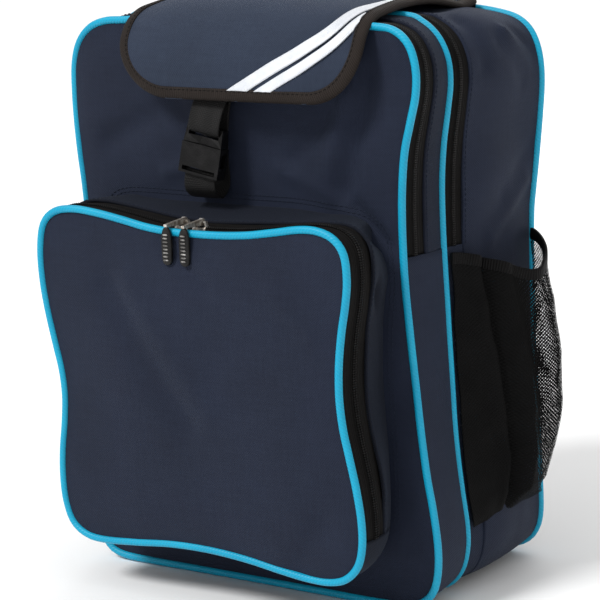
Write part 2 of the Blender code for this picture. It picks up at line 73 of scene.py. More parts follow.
# The piped seams, each as (x, z) places from the middle of its foot, round by the right-hand side
FRONT_Y = -0.0725
FRONT_SEAM = [
    (0.000, 0.0032), (0.060, 0.0030), (0.100, 0.0030), (0.120, 0.0045), (0.133, 0.0125), (0.1385, 0.026),
    (0.1395, 0.045), (0.1365, 0.070), (0.1325, 0.092), (0.1290, 0.120), (0.1260, 0.150), (0.1230, 0.180),
    (0.1200, 0.215), (0.1190, 0.245), (0.1195, 0.272), (0.1220, 0.297), (0.1270, 0.317), (0.1312, 0.334),
    (0.1315, 0.350), (0.1270, 0.364), (0.1170, 0.3725), (0.1000, 0.3750), (0.050, 0.3765), (0.000, 0.3770),
    (-0.050, 0.3770), (-0.093, 0.3755), (-0.110, 0.3745), (-0.123, 0.3700), (-0.133, 0.360), (-0.138, 0.345),
    (-0.139, 0.325), (-0.1385, 0.305), (-0.1370, 0.285), (-0.1345, 0.262), (-0.1325, 0.230), (-0.132, 0.190),
    (-0.133, 0.140), (-0.135, 0.100), (-0.138, 0.060), (-0.139, 0.040), (-0.137, 0.024), (-0.130, 0.010),
    (-0.118, 0.0040), (-0.090, 0.0030), (-0.050, 0.0032),
]
MIDDLE_Y = -0.0300
MIDDLE_SEAM = [
    (0.000, 0.0035), (0.090, 0.0030), (0.110, 0.0040), (0.123, 0.0090), (0.1315, 0.020), (0.1352, 0.035),
    (0.1350, 0.050), (0.1322, 0.070), (0.1295, 0.092), (0.1275, 0.115), (0.1262, 0.145), (0.1250, 0.170),
    (0.1240, 0.195), (0.1228, 0.222), (0.1220, 0.250), (0.1222, 0.275), (0.1242, 0.298), (0.1278, 0.320),
    (0.1300, 0.337), (0.1285, 0.352), (0.1220, 0.365), (0.1110, 0.3740), (0.098, 0.3780), (0.050, 0.3790),
    (0.000, 0.3790), (-0.050, 0.3790), (-0.098, 0.3785), (-0.115, 0.3760), (-0.129, 0.367), (-0.1365, 0.352),
    (-0.1385, 0.335), (-0.1388, 0.310), (-0.1380, 0.285), (-0.1365, 0.262), (-0.134, 0.230), (-0.133, 0.190),
    (-0.133, 0.140), (-0.134, 0.100), (-0.136, 0.060), (-0.136, 0.040), (-0.133, 0.022), (-0.124, 0.008),
    (-0.110, 0.0035), (-0.090, 0.0030),
]
REAR_Y = 0.0725
REAR_SEAM = [
    (0.000, 0.0035), (0.090, 0.0032), (0.108, 0.0048), (0.121, 0.0095), (0.129, 0.018), (0.1328, 0.032),
    (0.1325, 0.060), (0.1310, 0.100), (0.1292, 0.150), (0.1285, 0.200), (0.1292, 0.238), (0.1310, 0.255),
    (0.1332, 0.272), (0.1352, 0.289), (0.1370, 0.306), (0.1384, 0.322), (0.1384, 0.336), (0.1362, 0.349),
    (0.1310, 0.360), (0.1220, 0.3675), (0.1080, 0.3715), (0.085, 0.3745), (0.050, 0.3765), (0.000, 0.3775),
    (-0.050, 0.3765), (-0.085, 0.3745), (-0.108, 0.3715), (-0.122, 0.3675), (-0.131, 0.360), (-0.1362, 0.349),
    (-0.1384, 0.336), (-0.1384, 0.322), (-0.137, 0.306), (-0.1352, 0.289), (-0.1332, 0.272), (-0.131, 0.255),
    (-0.1292, 0.238), (-0.1285, 0.200), (-0.1292, 0.150), (-0.131, 0.100), (-0.1325, 0.060), (-0.1328, 0.032),
    (-0.129, 0.018), (-0.121, 0.0095), (-0.108, 0.0048), (-0.090, 0.0032),
]
ZIP_END_Z = 0.230
POCKET_Y = -0.128
POCKET_SEAM = [
    (0.000, 0.0395), (0.030, 0.0375), (0.055, 0.0342), (0.075, 0.0320), (0.092, 0.0318), (0.105, 0.0352),
    (0.1145, 0.0445), (0.1185, 0.0580), (0.1185, 0.0750), (0.1155, 0.0950), (0.111, 0.115), (0.107, 0.133),
    (0.1050, 0.1520), (0.1055, 0.1720), (0.1080, 0.1920), (0.1115, 0.2100), (0.1133, 0.226), (0.1115, 0.242),
    (0.1040, 0.2512), (0.0920, 0.2552), (0.0780, 0.2550), (0.0600, 0.2520), (0.040, 0.2490), (0.020, 0.2475),
    (0.000, 0.2470), (-0.020, 0.2472), (-0.040, 0.2490), (-0.060, 0.2525), (-0.080, 0.2555), (-0.100, 0.2570),
    (-0.116, 0.2542), (-0.126, 0.245), (-0.1295, 0.228), (-0.129, 0.208), (-0.126, 0.188), (-0.121, 0.166),
    (-0.1165, 0.147), (-0.115, 0.130), (-0.1165, 0.112), (-0.1195, 0.092), (-0.1205, 0.074), (-0.119, 0.057),
    (-0.1135, 0.043), (-0.102, 0.0355), (-0.086, 0.034), (-0.060, 0.036), (-0.030, 0.0390),
]
POCKET_FOOT_SEAM = [
    (0.000, 0.036), (0.050, 0.036), (0.085, 0.038), (0.100, 0.047), (0.106, 0.062), (0.1065, 0.100),
    (0.1045, 0.145), (0.1055, 0.190), (0.1070, 0.220), (0.1020, 0.243), (0.0890, 0.253), (0.050, 0.2575),
    (0.000, 0.2580), (-0.050, 0.2580), (-0.095, 0.2570), (-0.107, 0.2480), (-0.112, 0.225), (-0.111, 0.190),
    (-0.109, 0.145), (-0.110, 0.100), (-0.110, 0.062), (-0.104, 0.047), (-0.088, 0.038), (-0.050, 0.0360),
]
POCKET_SPLIT_Z = 0.060
PIPING_RADIUS = 0.0025
CLOTH = 0.0022
LOWER_STEPS = 70
UPPER_STEPS = 90

STITCH_PITCH = 0.0034
STITCH_LENGTH = 0.0024
THREAD_WIDTH = 0.0007
THREAD_HEIGHT = 0.0006


def unit(vectors):
    return vectors / np.maximum(np.linalg.norm(vectors, axis=-1, keepdims=True), 1e-9)


def spline(places, count, closed=False):
    """Evenly spaced places along a Catmull-Rom curve through the given ones."""
    knots = np.asarray(places, float)
    if closed:
        knots = np.vstack([knots[-1:], knots, knots[:2]])
    else:
        knots = np.vstack([2 * knots[0] - knots[1], knots, 2 * knots[-1] - knots[-2]])
    t = np.linspace(0, 1, 24, endpoint=False)[:, None]
    runs = []
    for a, b, c, d in zip(knots, knots[1:], knots[2:], knots[3:]):
        runs.append(0.5 * (2 * b + (c - a) * t + (2 * a - 5 * b + 4 * c - d) * t ** 2
                           + (3 * b - a - 3 * c + d) * t ** 3))
    line = np.vstack(runs + [knots[-2:-1]])
    steps = np.linalg.norm(np.diff(line, axis=0), axis=1)
    travelled = np.concatenate([[0], np.cumsum(steps)])
    at = np.linspace(0, travelled[-1], count, endpoint=not closed)
    return np.stack([np.interp(at, travelled, line[:, k]) for k in range(line.shape[1])], 1)


def seam_ring(places, y, split_z):
    """A closed seam whose rows line up with every other seam's at its foot, its top and split_z."""
    line = spline(places, 1200, closed=True)
    above = np.nonzero(line[:, 1] > split_z)[0]
    top = above[0] + np.argmin(np.abs(line[above[0]:above[-1], 0]))
    stops = (0, above[0], top, above[-1], len(line))
    steps = (LOWER_STEPS, UPPER_STEPS, UPPER_STEPS, LOWER_STEPS)
    at = np.concatenate([np.linspace(a, b, n, endpoint=False) for a, b, n in zip(stops, stops[1:], steps)])
    line = np.vstack([line, line[:1]])
    x, z = (np.interp(at, np.arange(len(line)), line[:, k]) for k in (0, 1))
    return np.stack([x, np.full_like(x, y), z], 1)


def upper_rows(grid):
    return grid[LOWER_STEPS:LOWER_STEPS + 2 * UPPER_STEPS + 1]


def lower_rows(grid):
    return np.concatenate([grid[LOWER_STEPS + 2 * UPPER_STEPS:], grid[:LOWER_STEPS + 1]])


def ripple(points, size, height, seed):
    """Smooth noise at each point, about as wide as size and at most height high."""
    flat = points.reshape(-1, 3) / size + seed
    values = np.array([noise.noise(Vector(place)) for place in flat])
    return height * values.reshape(points.shape[:-1])[..., None]


def outward_of(ring):
    """Which way is out of the bag at each place of a seam that runs anticlockwise as seen from the front."""
    along = unit(np.roll(ring, -1, axis=0) - np.roll(ring, 1, axis=0))
    return np.stack([along[:, 2], np.zeros(len(ring)), -along[:, 0]], 1)


def normals_of(grid, closed=False):
    """The unit normals of a grid of places, on the side away from the middle of the bag."""
    if closed:
        down = np.roll(grid, -1, axis=0) - np.roll(grid, 1, axis=0)
    else:
        down = np.gradient(grid, axis=0)
    normals = unit(np.cross(down, np.gradient(grid, axis=1)))
    return normals if (normals * (grid - MIDDLE)).sum() > 0 else -normals


def quads(rows, columns, closed):
    """The faces of a grid of places held row by row, and the row and column of each of their corners."""
    faces, corners = [], []
    for r in range(rows if closed else rows - 1):
        for c in range(columns - 1):
            cells = ((r, c), (r, c + 1), (r + 1, c + 1), (r + 1, c))
            corners.append(cells)
            faces.append([row % rows * columns + column for row, column in cells])
    return faces, corners


def distances(grid, axis, closed=False):
    """Mean distance travelled along one axis of a grid, in metres."""
    steps = np.linalg.norm(np.diff(grid, axis=axis), axis=2).mean(axis=1 - axis)
    travelled = np.concatenate([[0], np.cumsum(steps)])
    if closed:
        travelled = np.append(travelled, travelled[-1] + travelled[-1] / (len(travelled) - 1))
    return travelled


def add_piece(name, points, faces, uvs, material, body):
    """A mesh with its UVs in metres, riding on a body of the frame."""
    mesh = bpy.data.meshes.new(name)
    mesh.from_pydata([tuple(map(float, point)) for point in points], [], faces)
    layer = mesh.uv_layers.new(name="metres")
    layer.data.foreach_set("uv", np.array([uv for face in uvs for uv in face], np.float32).ravel())
    shape = bmesh.new()
    shape.from_mesh(mesh)
    bmesh.ops.recalc_face_normals(shape, faces=shape.faces)
    shape.to_mesh(mesh)
    shape.free()
    mesh.shade_smooth()
    mesh.materials.append(material)
    piece = bpy.data.objects.new(name, mesh)
    bpy.context.scene.collection.objects.link(piece)
    if body:
        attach(piece, body)
    return piece


def slab(name, grid, thickness, material, body="root", closed=False):
    """A closed sheet of cloth: a grid of places for its outer face, and another one thickness inside it."""
    rows, columns = grid.shape[:2]
    count = rows * columns
    inner = grid - thickness * normals_of(grid, closed)
    points = np.concatenate([grid.reshape(-1, 3), inner.reshape(-1, 3)])
    faces, corners = quads(rows, columns, closed)
    u, v = distances(grid, 0, closed), distances(grid, 1)
    uvs = [[(u[r], v[c]) for r, c in cells] for cells in corners]
    faces += [[corner + count for corner in face] for face in faces]
    uvs += uvs
    last_row = rows if closed else rows - 1
    edges = [((r, c), (r + 1, c)) for c in (0, columns - 1) for r in range(last_row)]
    if not closed:
        edges += [((r, c), (r, c + 1)) for r in (0, rows - 1) for c in range(columns - 1)]
    for (r, c), (s, d) in edges:
        a, b = r % rows * columns + c, s % rows * columns + d
        faces.append([a, b, b + count, a + count])
        uvs.append([(u[r], v[c]), (u[s], v[d]), (u[s], v[d] + thickness), (u[r], v[c] + thickness)])
    return add_piece(name, points, faces, uvs, material, body)


def loft(name, rings, material, body="root", closed=False):
    """A closed skin through rings of places, capped at its ends unless they meet."""
    count, size = rings.shape[:2]
    whole = np.concatenate([rings, rings[:, :1]], axis=1)
    faces, corners = quads(count, size + 1, closed)
    u, v = distances(whole, 0, closed), distances(whole, 1)
    faces = [[r % count * size + c % size for r, c in cells] for cells in corners]
    uvs = [[(u[r], v[c]) for r, c in cells] for cells in corners]
    points = rings.reshape(-1, 3)
    if not closed:
        points = np.concatenate([points, rings[0].mean(0)[None], rings[-1].mean(0)[None]])
        for first, hub, row in ((0, count * size, 0), ((count - 1) * size, count * size + 1, count - 1)):
            for c in range(size):
                faces.append([first + c, first + (c + 1) % size, hub])
                uvs.append([(u[row], v[c]), (u[row], v[c + 1]), (u[row], v[c])])
    return add_piece(name, points, faces, uvs, material, body)


def frames_along(line, across, closed=False):
    """The unit tangent, width direction and thickness direction at each place of a line."""
    if closed:
        along = unit(np.roll(line, -1, axis=0) - np.roll(line, 1, axis=0))
    else:
        along = unit(np.gradient(line, axis=0))
    over = unit(np.cross(along, np.broadcast_to(np.asarray(across, float), line.shape)))
    return along, np.cross(over, along), over


def sweep(name, line, across, profile, material, body="root", closed=False):
    """A solid with one profile, as (width, thickness) places, all along a line."""
    _, wide, over = frames_along(line, across, closed)
    profile = np.asarray(profile, float)
    rings = line[:, None] + wide[:, None] * profile[None, :, :1] + over[:, None] * profile[None, :, 1:]
    return loft(name, rings, material, body, closed)


def oval(width, thickness, power=1.0, steps=16):
    """The outline of a rod or, with a power below 1, of a strip with rounded edges."""
    turns = TURN * np.arange(steps) / steps
    x, y = np.cos(turns), np.sin(turns)
    return np.stack([width / 2 * np.sign(x) * np.abs(x) ** power,
                     thickness / 2 * np.sign(y) * np.abs(y) ** power], 1)


def many(name, starts, ends, ups, width, height, material, body="root"):
    """One piece made of many short rounded rods, such as stitches or the teeth of a zip."""
    starts, ends, ups = (np.asarray(values, float) for values in (starts, ends, ups))
    along = unit(ends - starts)
    side = unit(np.cross(along, ups)) * width / 2
    up = unit(np.cross(side, along)) * height / 2
    rows = [starts]
    for part in (0.2, 0.8):
        middle = starts * (1 - part) + ends * part
        rows += [middle + side, middle + up, middle - side, middle - up]
    rows.append(ends)
    points = np.stack(rows, 1).reshape(-1, 3)
    rod = [(0, 1 + k, 1 + (k + 1) % 4) for k in range(4)]
    rod += [(1 + k, 1 + (k + 1) % 4, 5 + (k + 1) % 4, 5 + k) for k in range(4)]
    rod += [(5 + k, 5 + (k + 1) % 4, 9) for k in range(4)]
    reach = (0.0,) + (0.2,) * 4 + (0.8,) * 4 + (1.0,)
    length = float(np.linalg.norm(ends - starts, axis=1).mean())
    faces = [[corner + 10 * k for corner in face] for k in range(len(starts)) for face in rod]
    flat = [[(reach[corner] * length, corner % 4 * width / 2) for corner in face] for face in rod]
    return add_piece(name, points, faces, flat * len(starts), material, body)


def stitch_run(name, line, ups, material, body="root"):
    """A row of stitches that lies on a surface, along a line of places with their outward normals."""
    travelled = np.concatenate([[0], np.cumsum(np.linalg.norm(np.diff(line, axis=0), axis=1))])
    begins = np.arange(0, travelled[-1] - STITCH_LENGTH, STITCH_PITCH)

    def at(values, places):
        return np.stack([np.interp(places, travelled, values[:, k]) for k in range(3)], 1)

    return many(name, at(line, begins), at(line, begins + STITCH_LENGTH), at(ups, begins),
                THREAD_WIDTH, THREAD_HEIGHT, material, body)


def filled(ring, rows, columns):
    """A grid of places that fills a seam, from four sides that meet at its rounded corners."""
    x, z = ring[:, 0], ring[:, 2]
    right_foot, right_top = int(np.argmax(x - z)), int(np.argmax(x + z))
    left_top, left_foot = int(np.argmax(z - x)), int(np.argmin(x + z))
    size = len(ring)

    def side(first, last, count):
        at = np.linspace(first, last if last > first else last + size, count)
        whole = np.vstack([ring, ring, ring[:1]])
        return np.stack([np.interp(at, np.arange(len(whole)), whole[:, k]) for k in range(3)], 1)

    right = side(right_foot, right_top, rows)
    left = side(left_top, left_foot, rows)[::-1]
    top = side(right_top, left_top, columns)[::-1]
    foot = side(left_foot, right_foot, columns)
    v = np.linspace(0, 1, rows)[:, None, None]
    u = np.linspace(0, 1, columns)[None, :, None]
    corners = ((1 - u) * (1 - v) * foot[0] + u * (1 - v) * foot[-1]
               + (1 - u) * v * top[0] + u * v * top[-1])
    return ((1 - v) * foot[None] + v * top[None] + (1 - u) * left[:, None] + u * right[:, None] - corners)


def dome(rows, columns, power):
    """1 over most of a grid, falling to 0 at its edges: the higher the power, the later it falls."""
    v = np.abs(np.linspace(-1, 1, rows))[:, None, None]
    u = np.abs(np.linspace(-1, 1, columns))[None, :, None]
    return (1 - u ** power) * (1 - v ** power)


def tree_of(piece):
    mesh = piece.data
    return BVHTree.FromPolygons([v.co for v in mesh.vertices], [list(p.vertices) for p in mesh.polygons])


def onto(tree, x, z, stand_off=0.0):
    """The place on the front of a piece behind a point in front of it, that far proud of its surface."""
    place, _, _, _ = tree.ray_cast(Vector((x, -0.3, z)), Vector((0, 1, 0)))
    return (x, place.y - stand_off, z)


class Finish:
    """A Principled material, with short ways to add the nodes that feed it."""

    def __init__(self, name, **values):
        self.material = bpy.data.materials.new(name)
        self.material.use_nodes = True
        self.tree = self.material.node_tree
        self.shader = self.tree.nodes["Principled BSDF"]
        for socket, value in values.items():
            self.shader.inputs[socket.replace("_", " ")].default_value = value

    def node(self, kind, sockets, out=0, **settings):
        made = self.tree.nodes.new("ShaderNode" + kind)
        for setting, value in settings.items():
            setattr(made, setting, value)
        for key, value in sockets.items():
            self.feed(made.inputs[key], value)
        return made.outputs[out]

    def feed(self, socket, value):
        if isinstance(value, bpy.types.NodeSocket):
            self.tree.links.new(value, socket)
        else:
            socket.default_value = value

    def maths(self, operation, a, b=0.0, limit=False):
        return self.node("Math", {0: a, 1: b}, operation=operation, use_clamp=limit)

    def scaled(self, value, times, plus=0.0):
        return self.node("Math", {0: value, 1: times, 2: plus}, operation="MULTIPLY_ADD")

    def wave(self, along, pitch):
        """A sine from 0 to 1 that repeats every pitch."""
        turns = self.scaled(along, TURN / pitch)
        return self.scaled(self.maths("SINE", turns), 0.5, 0.5)

    def flat_uv(self):
        """The cloth's own directions in metres: along it and across it."""
        place = self.node("UVMap", {}, uv_map="metres")
        return self.node("SeparateXYZ", {0: place}), self.node("SeparateXYZ", {0: place}, out=1)

    def back_plane(self):
        """Directions in metres for a piece that faces the back of the bag: across it and up it."""
        place = self.node("TexCoord", {}, out=3)
        return self.node("SeparateXYZ", {0: place}), self.node("SeparateXYZ", {0: place}, out=2)

    def cloudy(self, size, detail=3.0, stretch=(1.0, 1.0, 1.0)):
        """Noise about as wide as size, from 0 to 1."""
        place = self.node("TexCoord", {}, out=3)
        spread = self.node("VectorMath", {0: place, 1: stretch}, operation="MULTIPLY")
        return self.node("TexNoise", {"Vector": spread, "Scale": 1 / size, "Detail": detail})

    def blend(self, share, a, b):
        return self.node("Mix", {0: share, 6: a, 7: b}, out=2, data_type="RGBA")

    def colour(self, value):
        self.feed(self.shader.inputs["Base Color"], value)

    def relief(self, height, depth):
        bump = self.node("Bump", {"Strength": 1.0, "Distance": depth, "Height": height})
        self.feed(self.shader.inputs["Normal"], bump)


def rgb(red, green, blue):
    return (red, green, blue, 1.0)


NAVY = rgb(0.0080, 0.0112, 0.0245)
NAVY_THREAD = rgb(0.0128, 0.0180, 0.0355)
# The flap's navy and thread are lighter copies of the body's: painted light, for the flap lit from above.
FLAP_NAVY_PAINTED_LIGHT = rgb(0.0150, 0.0215, 0.0395)
FLAP_THREAD_PAINTED_LIGHT = rgb(0.0235, 0.0335, 0.0570)
# A darker copy of the navy: painted shade, for cloth in narrow strips, under the bag and under the flap.
NAVY_PAINTED_HALF_SHADE = rgb(0.0046, 0.0064, 0.0135)
# A still darker navy: painted shade.
NAVY_SHADE = rgb(0.0030, 0.0041, 0.0088)
TAPE = rgb(0.0028, 0.0025, 0.0024)
TAPE_RIB = rgb(0.0078, 0.0068, 0.0064)
BLACK = rgb(0.0028, 0.0026, 0.0028)
BLACK_WORN = rgb(0.0090, 0.0085, 0.0085)


def weave(finish, u, v, pitch):
    """The height of a plain weave, from 0 to 1: neighbouring threads pass over and under one another."""
    over = finish.maths("SINE", finish.scaled(u, TURN / pitch))
    under = finish.maths("SINE", finish.scaled(v, TURN / pitch))
    return finish.scaled(finish.maths("MULTIPLY", over, under), 0.5, 0.5)


CLOTH_RELIEF = 0.00022


def woven(name, dark, light, pitch, on_back=False, worn=0.25, sheen=0.06):
    """A plain woven cloth with uneven threads, faint streaks along them and slow changes of shade."""
    finish = Finish(name, Roughness=0.78, Specular_IOR_Level=0.18, Sheen_Weight=sheen,
                    Sheen_Roughness=0.45, Sheen_Tint=rgb(0.55, 0.66, 0.90))
    u, v = finish.back_plane() if on_back else finish.flat_uv()
    threads = weave(finish, u, v, pitch)
    streaks = finish.cloudy(0.0022, 2.0, (1.0, 1.0, 0.12))
    weft = finish.cloudy(0.0022, 2.0, (0.12, 0.12, 1.0))
    uneven = finish.maths("MULTIPLY", finish.maths("ADD", streaks, weft), 0.5)
    share = finish.maths("ADD", finish.maths("MULTIPLY", threads, 0.45),
                         finish.scaled(uneven, 1.3, -0.30), limit=True)
    cloth = finish.blend(share, dark, light)
    shade = finish.scaled(finish.cloudy(0.05), worn * 2, 1 - worn)
    finish.colour(finish.node("VectorMath", {0: cloth, 3: shade}, operation="SCALE"))
    height = finish.maths("ADD", threads, finish.maths("MULTIPLY", uneven, 0.8))
    finish.relief(height, CLOTH_RELIEF)
    return finish.material


def ribbed(name, dark, light, pitch, across=True, depth=0.0003):
    """A woven tape: ribs across or along it, crossed by finer threads."""
    finish = Finish(name, Roughness=0.62, Specular_IOR_Level=0.07, Sheen_Weight=0.01,
                    Sheen_Roughness=0.5)
    u, v = finish.flat_uv()
    ribs = finish.wave(u if across else v, pitch)
    threads = finish.wave(v if across else u, 0.0011)
    height = finish.maths("ADD", finish.maths("MULTIPLY", ribs, 0.75),
                          finish.maths("MULTIPLY", threads, 0.25))
    patches = finish.scaled(finish.cloudy(0.012), 0.5, -0.1)
    finish.colour(finish.blend(finish.maths("ADD", finish.maths("MULTIPLY", height, 0.7), patches, True),
                               dark, light))
    finish.relief(height, depth)
    return finish.material


def twill_webbing():
    """Black webbing: fine ribs across it and a chevron of threads."""
    finish = Finish("webbing", Roughness=0.50, Specular_IOR_Level=0.15, Sheen_Weight=0.01)
    u, v = finish.flat_uv()
    slanted = finish.maths("ADD", u, finish.maths("PINGPONG", v, 0.0063))
    chevron = finish.wave(slanted, 0.0021)
    ribs = finish.wave(u, 0.0012)
    height = finish.maths("ADD", finish.maths("MULTIPLY", chevron, 0.6),
                          finish.maths("MULTIPLY", ribs, 0.4))
    finish.colour(finish.blend(height, BLACK, BLACK_WORN))
    finish.relief(height, 0.00028)
    return finish.material


def cord_cover():
    """Bright cyan piping: a smooth coated tape over a cord, lightly creased and a little uneven."""
    finish = Finish("piping", Roughness=0.40, Specular_IOR_Level=0.28)
    u, v = finish.flat_uv()
    creases = finish.wave(finish.maths("ADD", u, finish.maths("MULTIPLY", v, 0.6)), 0.0024)
    patches = finish.cloudy(0.03)
    share = finish.maths("ADD", finish.maths("MULTIPLY", creases, 0.25),
                         finish.scaled(patches, 0.8, -0.1), limit=True)
    finish.colour(finish.blend(share, rgb(0.0020, 0.260, 0.440), rgb(0.0080, 0.400, 0.590)))
    finish.relief(finish.maths("ADD", creases, finish.cloudy(0.004)), 0.00012)
    return finish.material


def net():
    """Stretch mesh: a diamond net whose holes are clear, and open where the mesh is stretched."""
    finish = Finish("mesh_net", Roughness=0.70, Specular_IOR_Level=0.05)
    u, v = finish.flat_uv()
    pitch = 0.0024
    cells = finish.maths("MULTIPLY", finish.maths("COSINE", finish.scaled(u, TURN / pitch)),
                         finish.maths("COSINE", finish.scaled(v, TURN / pitch)))
    stretched = finish.node("MapRange", {0: v, 1: 0.050, 2: 0.068, 3: 1.05, 4: 0.02})
    uneven = finish.scaled(finish.cloudy(0.0030, 1.0), 0.7, -0.35)
    limit = finish.maths("ADD", stretched, uneven)
    finish.feed(finish.shader.inputs["Alpha"], finish.maths("LESS_THAN", cells, limit))
    finish.colour(finish.blend(finish.cloudy(0.02), rgb(0.0025, 0.0025, 0.0026), rgb(0.0075, 0.0072, 0.0072)))
    finish.relief(finish.scaled(cells, -0.5, 0.5), 0.0004)
    return finish.material


def spacer_mesh():
    """The padded knit on the back: small hollow cells in rows."""
    finish = Finish("spacer_mesh", Roughness=0.85, Specular_IOR_Level=0.2, Sheen_Weight=0.2)
    u, v = finish.back_plane()
    cells = finish.maths("MULTIPLY", finish.maths("COSINE", finish.scaled(u, TURN / 0.0042)),
                         finish.maths("COSINE", finish.scaled(v, TURN / 0.0042)))
    hollow = finish.node("MapRange", {0: cells, 1: 0.15, 2: 0.75, 3: 1.0, 4: 0.0})
    knit = finish.maths("MULTIPLY", weave(finish, u, v, 0.0011), 0.25)
    finish.colour(finish.blend(hollow, rgb(0.0025, 0.0025, 0.0030), rgb(0.0240, 0.0240, 0.0270)))
    finish.relief(finish.maths("ADD", hollow, knit), 0.0007)
    return finish.material


def reflective():
    """Silver-white tape: a glass-bead grain in a fine square grid."""
    finish = Finish("reflective_tape", Roughness=0.34, Specular_IOR_Level=0.55, Metallic=0.12)
    u, v = finish.flat_uv()
    beads = weave(finish, u, v, 0.0013)
    scuffs = finish.cloudy(0.010, 5.0)
    share = finish.maths("ADD", finish.maths("MULTIPLY", beads, 0.35), finish.scaled(scuffs, 0.9, 0.05), True)
    finish.colour(finish.blend(share, rgb(0.50, 0.53, 0.60), rgb(0.80, 0.82, 0.85)))
    finish.relief(beads, 0.00010)
    return finish.material


def moulded(name, dark, light, roughness, grain=0.0009, specular=0.25):
    """Moulded plastic or rubber with a fine grain, rubbed lighter in patches."""
    finish = Finish(name, Roughness=roughness, Specular_IOR_Level=specular)
    fine = finish.cloudy(grain, 4.0)
    rubbed = finish.node("MapRange", {0: finish.cloudy(0.006, 5.0), 1: 0.45, 2: 0.75, 3: 0.0, 4: 1.0})
    finish.colour(finish.blend(rubbed, dark, light))
    finish.relief(fine, 0.00008)
    return finish.material


def plated():
    """Nickel plate with a warm tarnish in its hollows and fine scratches."""
    finish = Finish("plated_metal", Metallic=0.85, Roughness=0.42)
    tarnish = finish.node("MapRange", {0: finish.cloudy(0.0025, 5.0), 1: 0.38, 2: 0.68, 3: 0.0, 4: 1.0})
    finish.colour(finish.blend(tarnish, rgb(0.36, 0.30, 0.24), rgb(0.88, 0.85, 0.80)))
    scratches = finish.cloudy(0.0007, 3.0, (1.0, 0.2, 0.2))
    finish.relief(scratches, 0.00006)
    return finish.material


def pressed_board():
    finish = Finish("pressed_board", Roughness=0.75, Specular_IOR_Level=0.3)
    fibres = finish.cloudy(0.0015, 5.0, (1.0, 0.3, 1.0))
    finish.colour(finish.blend(fibres, rgb(0.10, 0.10, 0.10), rgb(0.26, 0.25, 0.24)))
    finish.relief(fibres, 0.0002)
    return finish.material


def studio_floor():
    finish = Finish("studio_floor", Roughness=0.9, Specular_IOR_Level=0.1)
    finish.colour(finish.blend(finish.cloudy(0.8), rgb(0.94, 0.94, 0.94), rgb(0.96, 0.96, 0.96)))
    return finish.material


CANVAS = woven("navy_canvas", NAVY, NAVY_THREAD, 0.0016)
# The flap's canvas is lighter than the body's: painted light.
CANVAS_FLAP_PAINTED_LIGHT = woven("navy_flap_canvas_painted_light", FLAP_NAVY_PAINTED_LIGHT, FLAP_THREAD_PAINTED_LIGHT, 0.0016, sheen=0.10)
# Darker canvas: painted shade on the strip between the front pipings, the base, the flap's hinge and the
# strap tabs.
CANVAS_PAINTED_HALF_SHADE = woven("navy_canvas_painted_half_shade", NAVY_PAINTED_HALF_SHADE, NAVY, 0.0014)
# Darkest canvas: painted shade on the pocket's side wall and foot, which face away from the light.
CANVAS_SHADE = woven("navy_canvas_shade", NAVY_SHADE, NAVY_PAINTED_HALF_SHADE, 0.0014)
PAD_CLOTH = woven("navy_pad_cloth", NAVY, NAVY_THREAD, 0.0016, on_back=True)
LINING = woven("lining", rgb(0.0180, 0.0190, 0.0230), rgb(0.0330, 0.0350, 0.0420), 0.0010,
               worn=0.15, sheen=0.05)
ZIP_TAPE = ribbed("zip_tape", TAPE, TAPE_RIB, 0.0013, across=False)
EDGE_TAPE = ribbed("edge_tape", rgb(0.0105, 0.0080, 0.0070), rgb(0.0320, 0.0252, 0.0220), 0.0015)
ELASTIC = ribbed("elastic", BLACK, BLACK_WORN, 0.0018, depth=0.0004)
WEBBING = twill_webbing()
PIPING = cord_cover()
NET = net()
SPACER = spacer_mesh()
REFLECTIVE = reflective()
PLASTIC = moulded("black_plastic", rgb(0.0024, 0.0022, 0.0024), rgb(0.0085, 0.0080, 0.0085), 0.26,
                  specular=0.2)
RUBBER = moulded("black_rubber", rgb(0.0035, 0.0033, 0.0033), rgb(0.0140, 0.0130, 0.0125), 0.48, 0.0006)
PALE_RIB = moulded("pale_rib", rgb(0.10, 0.095, 0.090), rgb(0.62, 0.60, 0.57), 0.35, 0.0006, specular=0.5)
METAL = plated()
BOARD = pressed_board()
DARK_THREAD = ribbed("dark_thread", rgb(0.0050, 0.0045, 0.0043), rgb(0.0180, 0.0160, 0.0150), 0.0008)
NAVY_STITCH = ribbed("navy_thread", rgb(0.0100, 0.0140, 0.0270), rgb(0.0290, 0.0370, 0.0580), 0.0008)
COIL = moulded("zip_coil", rgb(0.0040, 0.0034, 0.0032), rgb(0.0150, 0.0125, 0.0115), 0.42)


def piping(name, ring, node, body="root"):
    cord = sweep(name, ring, DOWN_THE_BAG, oval(2 * PIPING_RADIUS, 2 * PIPING_RADIUS), PIPING, body, True)
    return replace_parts(cord, node)


def band(near, far, start, end, columns, swell, proud=0.0, crumple=0.0, seed=0.0, turn_in=1.0):
    """A grid between two seams, from part start to part end of the way, swollen out of the bag."""
    t = np.linspace(start, end, columns)[None, :, None]
    lean = t ** turn_in
    grid = near[:, None] * (1 - lean) + far[:, None] * lean
    grid[..., 1:2] = near[:, None, 1:2] * (1 - t) + far[:, None, 1:2] * t
    out = outward_of(near)[:, None]
    sides = np.abs(out[..., :1]) + 0.35 * np.clip(out[..., 2:], 0, 1)
    grid = grid + out * (swell * np.sin(math.pi * t) * sides + proud)
    if crumple:
        off_the_floor = np.clip(1 + out[..., 2:], 0, 1)
        grid = grid + out * ripple(grid, 0.050, crumple, seed) * np.sin(math.pi * t) * off_the_floor
    return grid


def zip_profile(columns, coil_at, coil_width):
    """Height of a zip tape across its width: fine ridges, and the coil standing up in its channel."""
    share = np.linspace(0, 1, columns)
    ridges = 0.00016 * np.cos(TURN * share * 7)
    coil = 0.0010 * np.clip(1 - ((share - coil_at) / coil_width) ** 2, 0, 1)
    return (ridges + coil)[None, :, None]


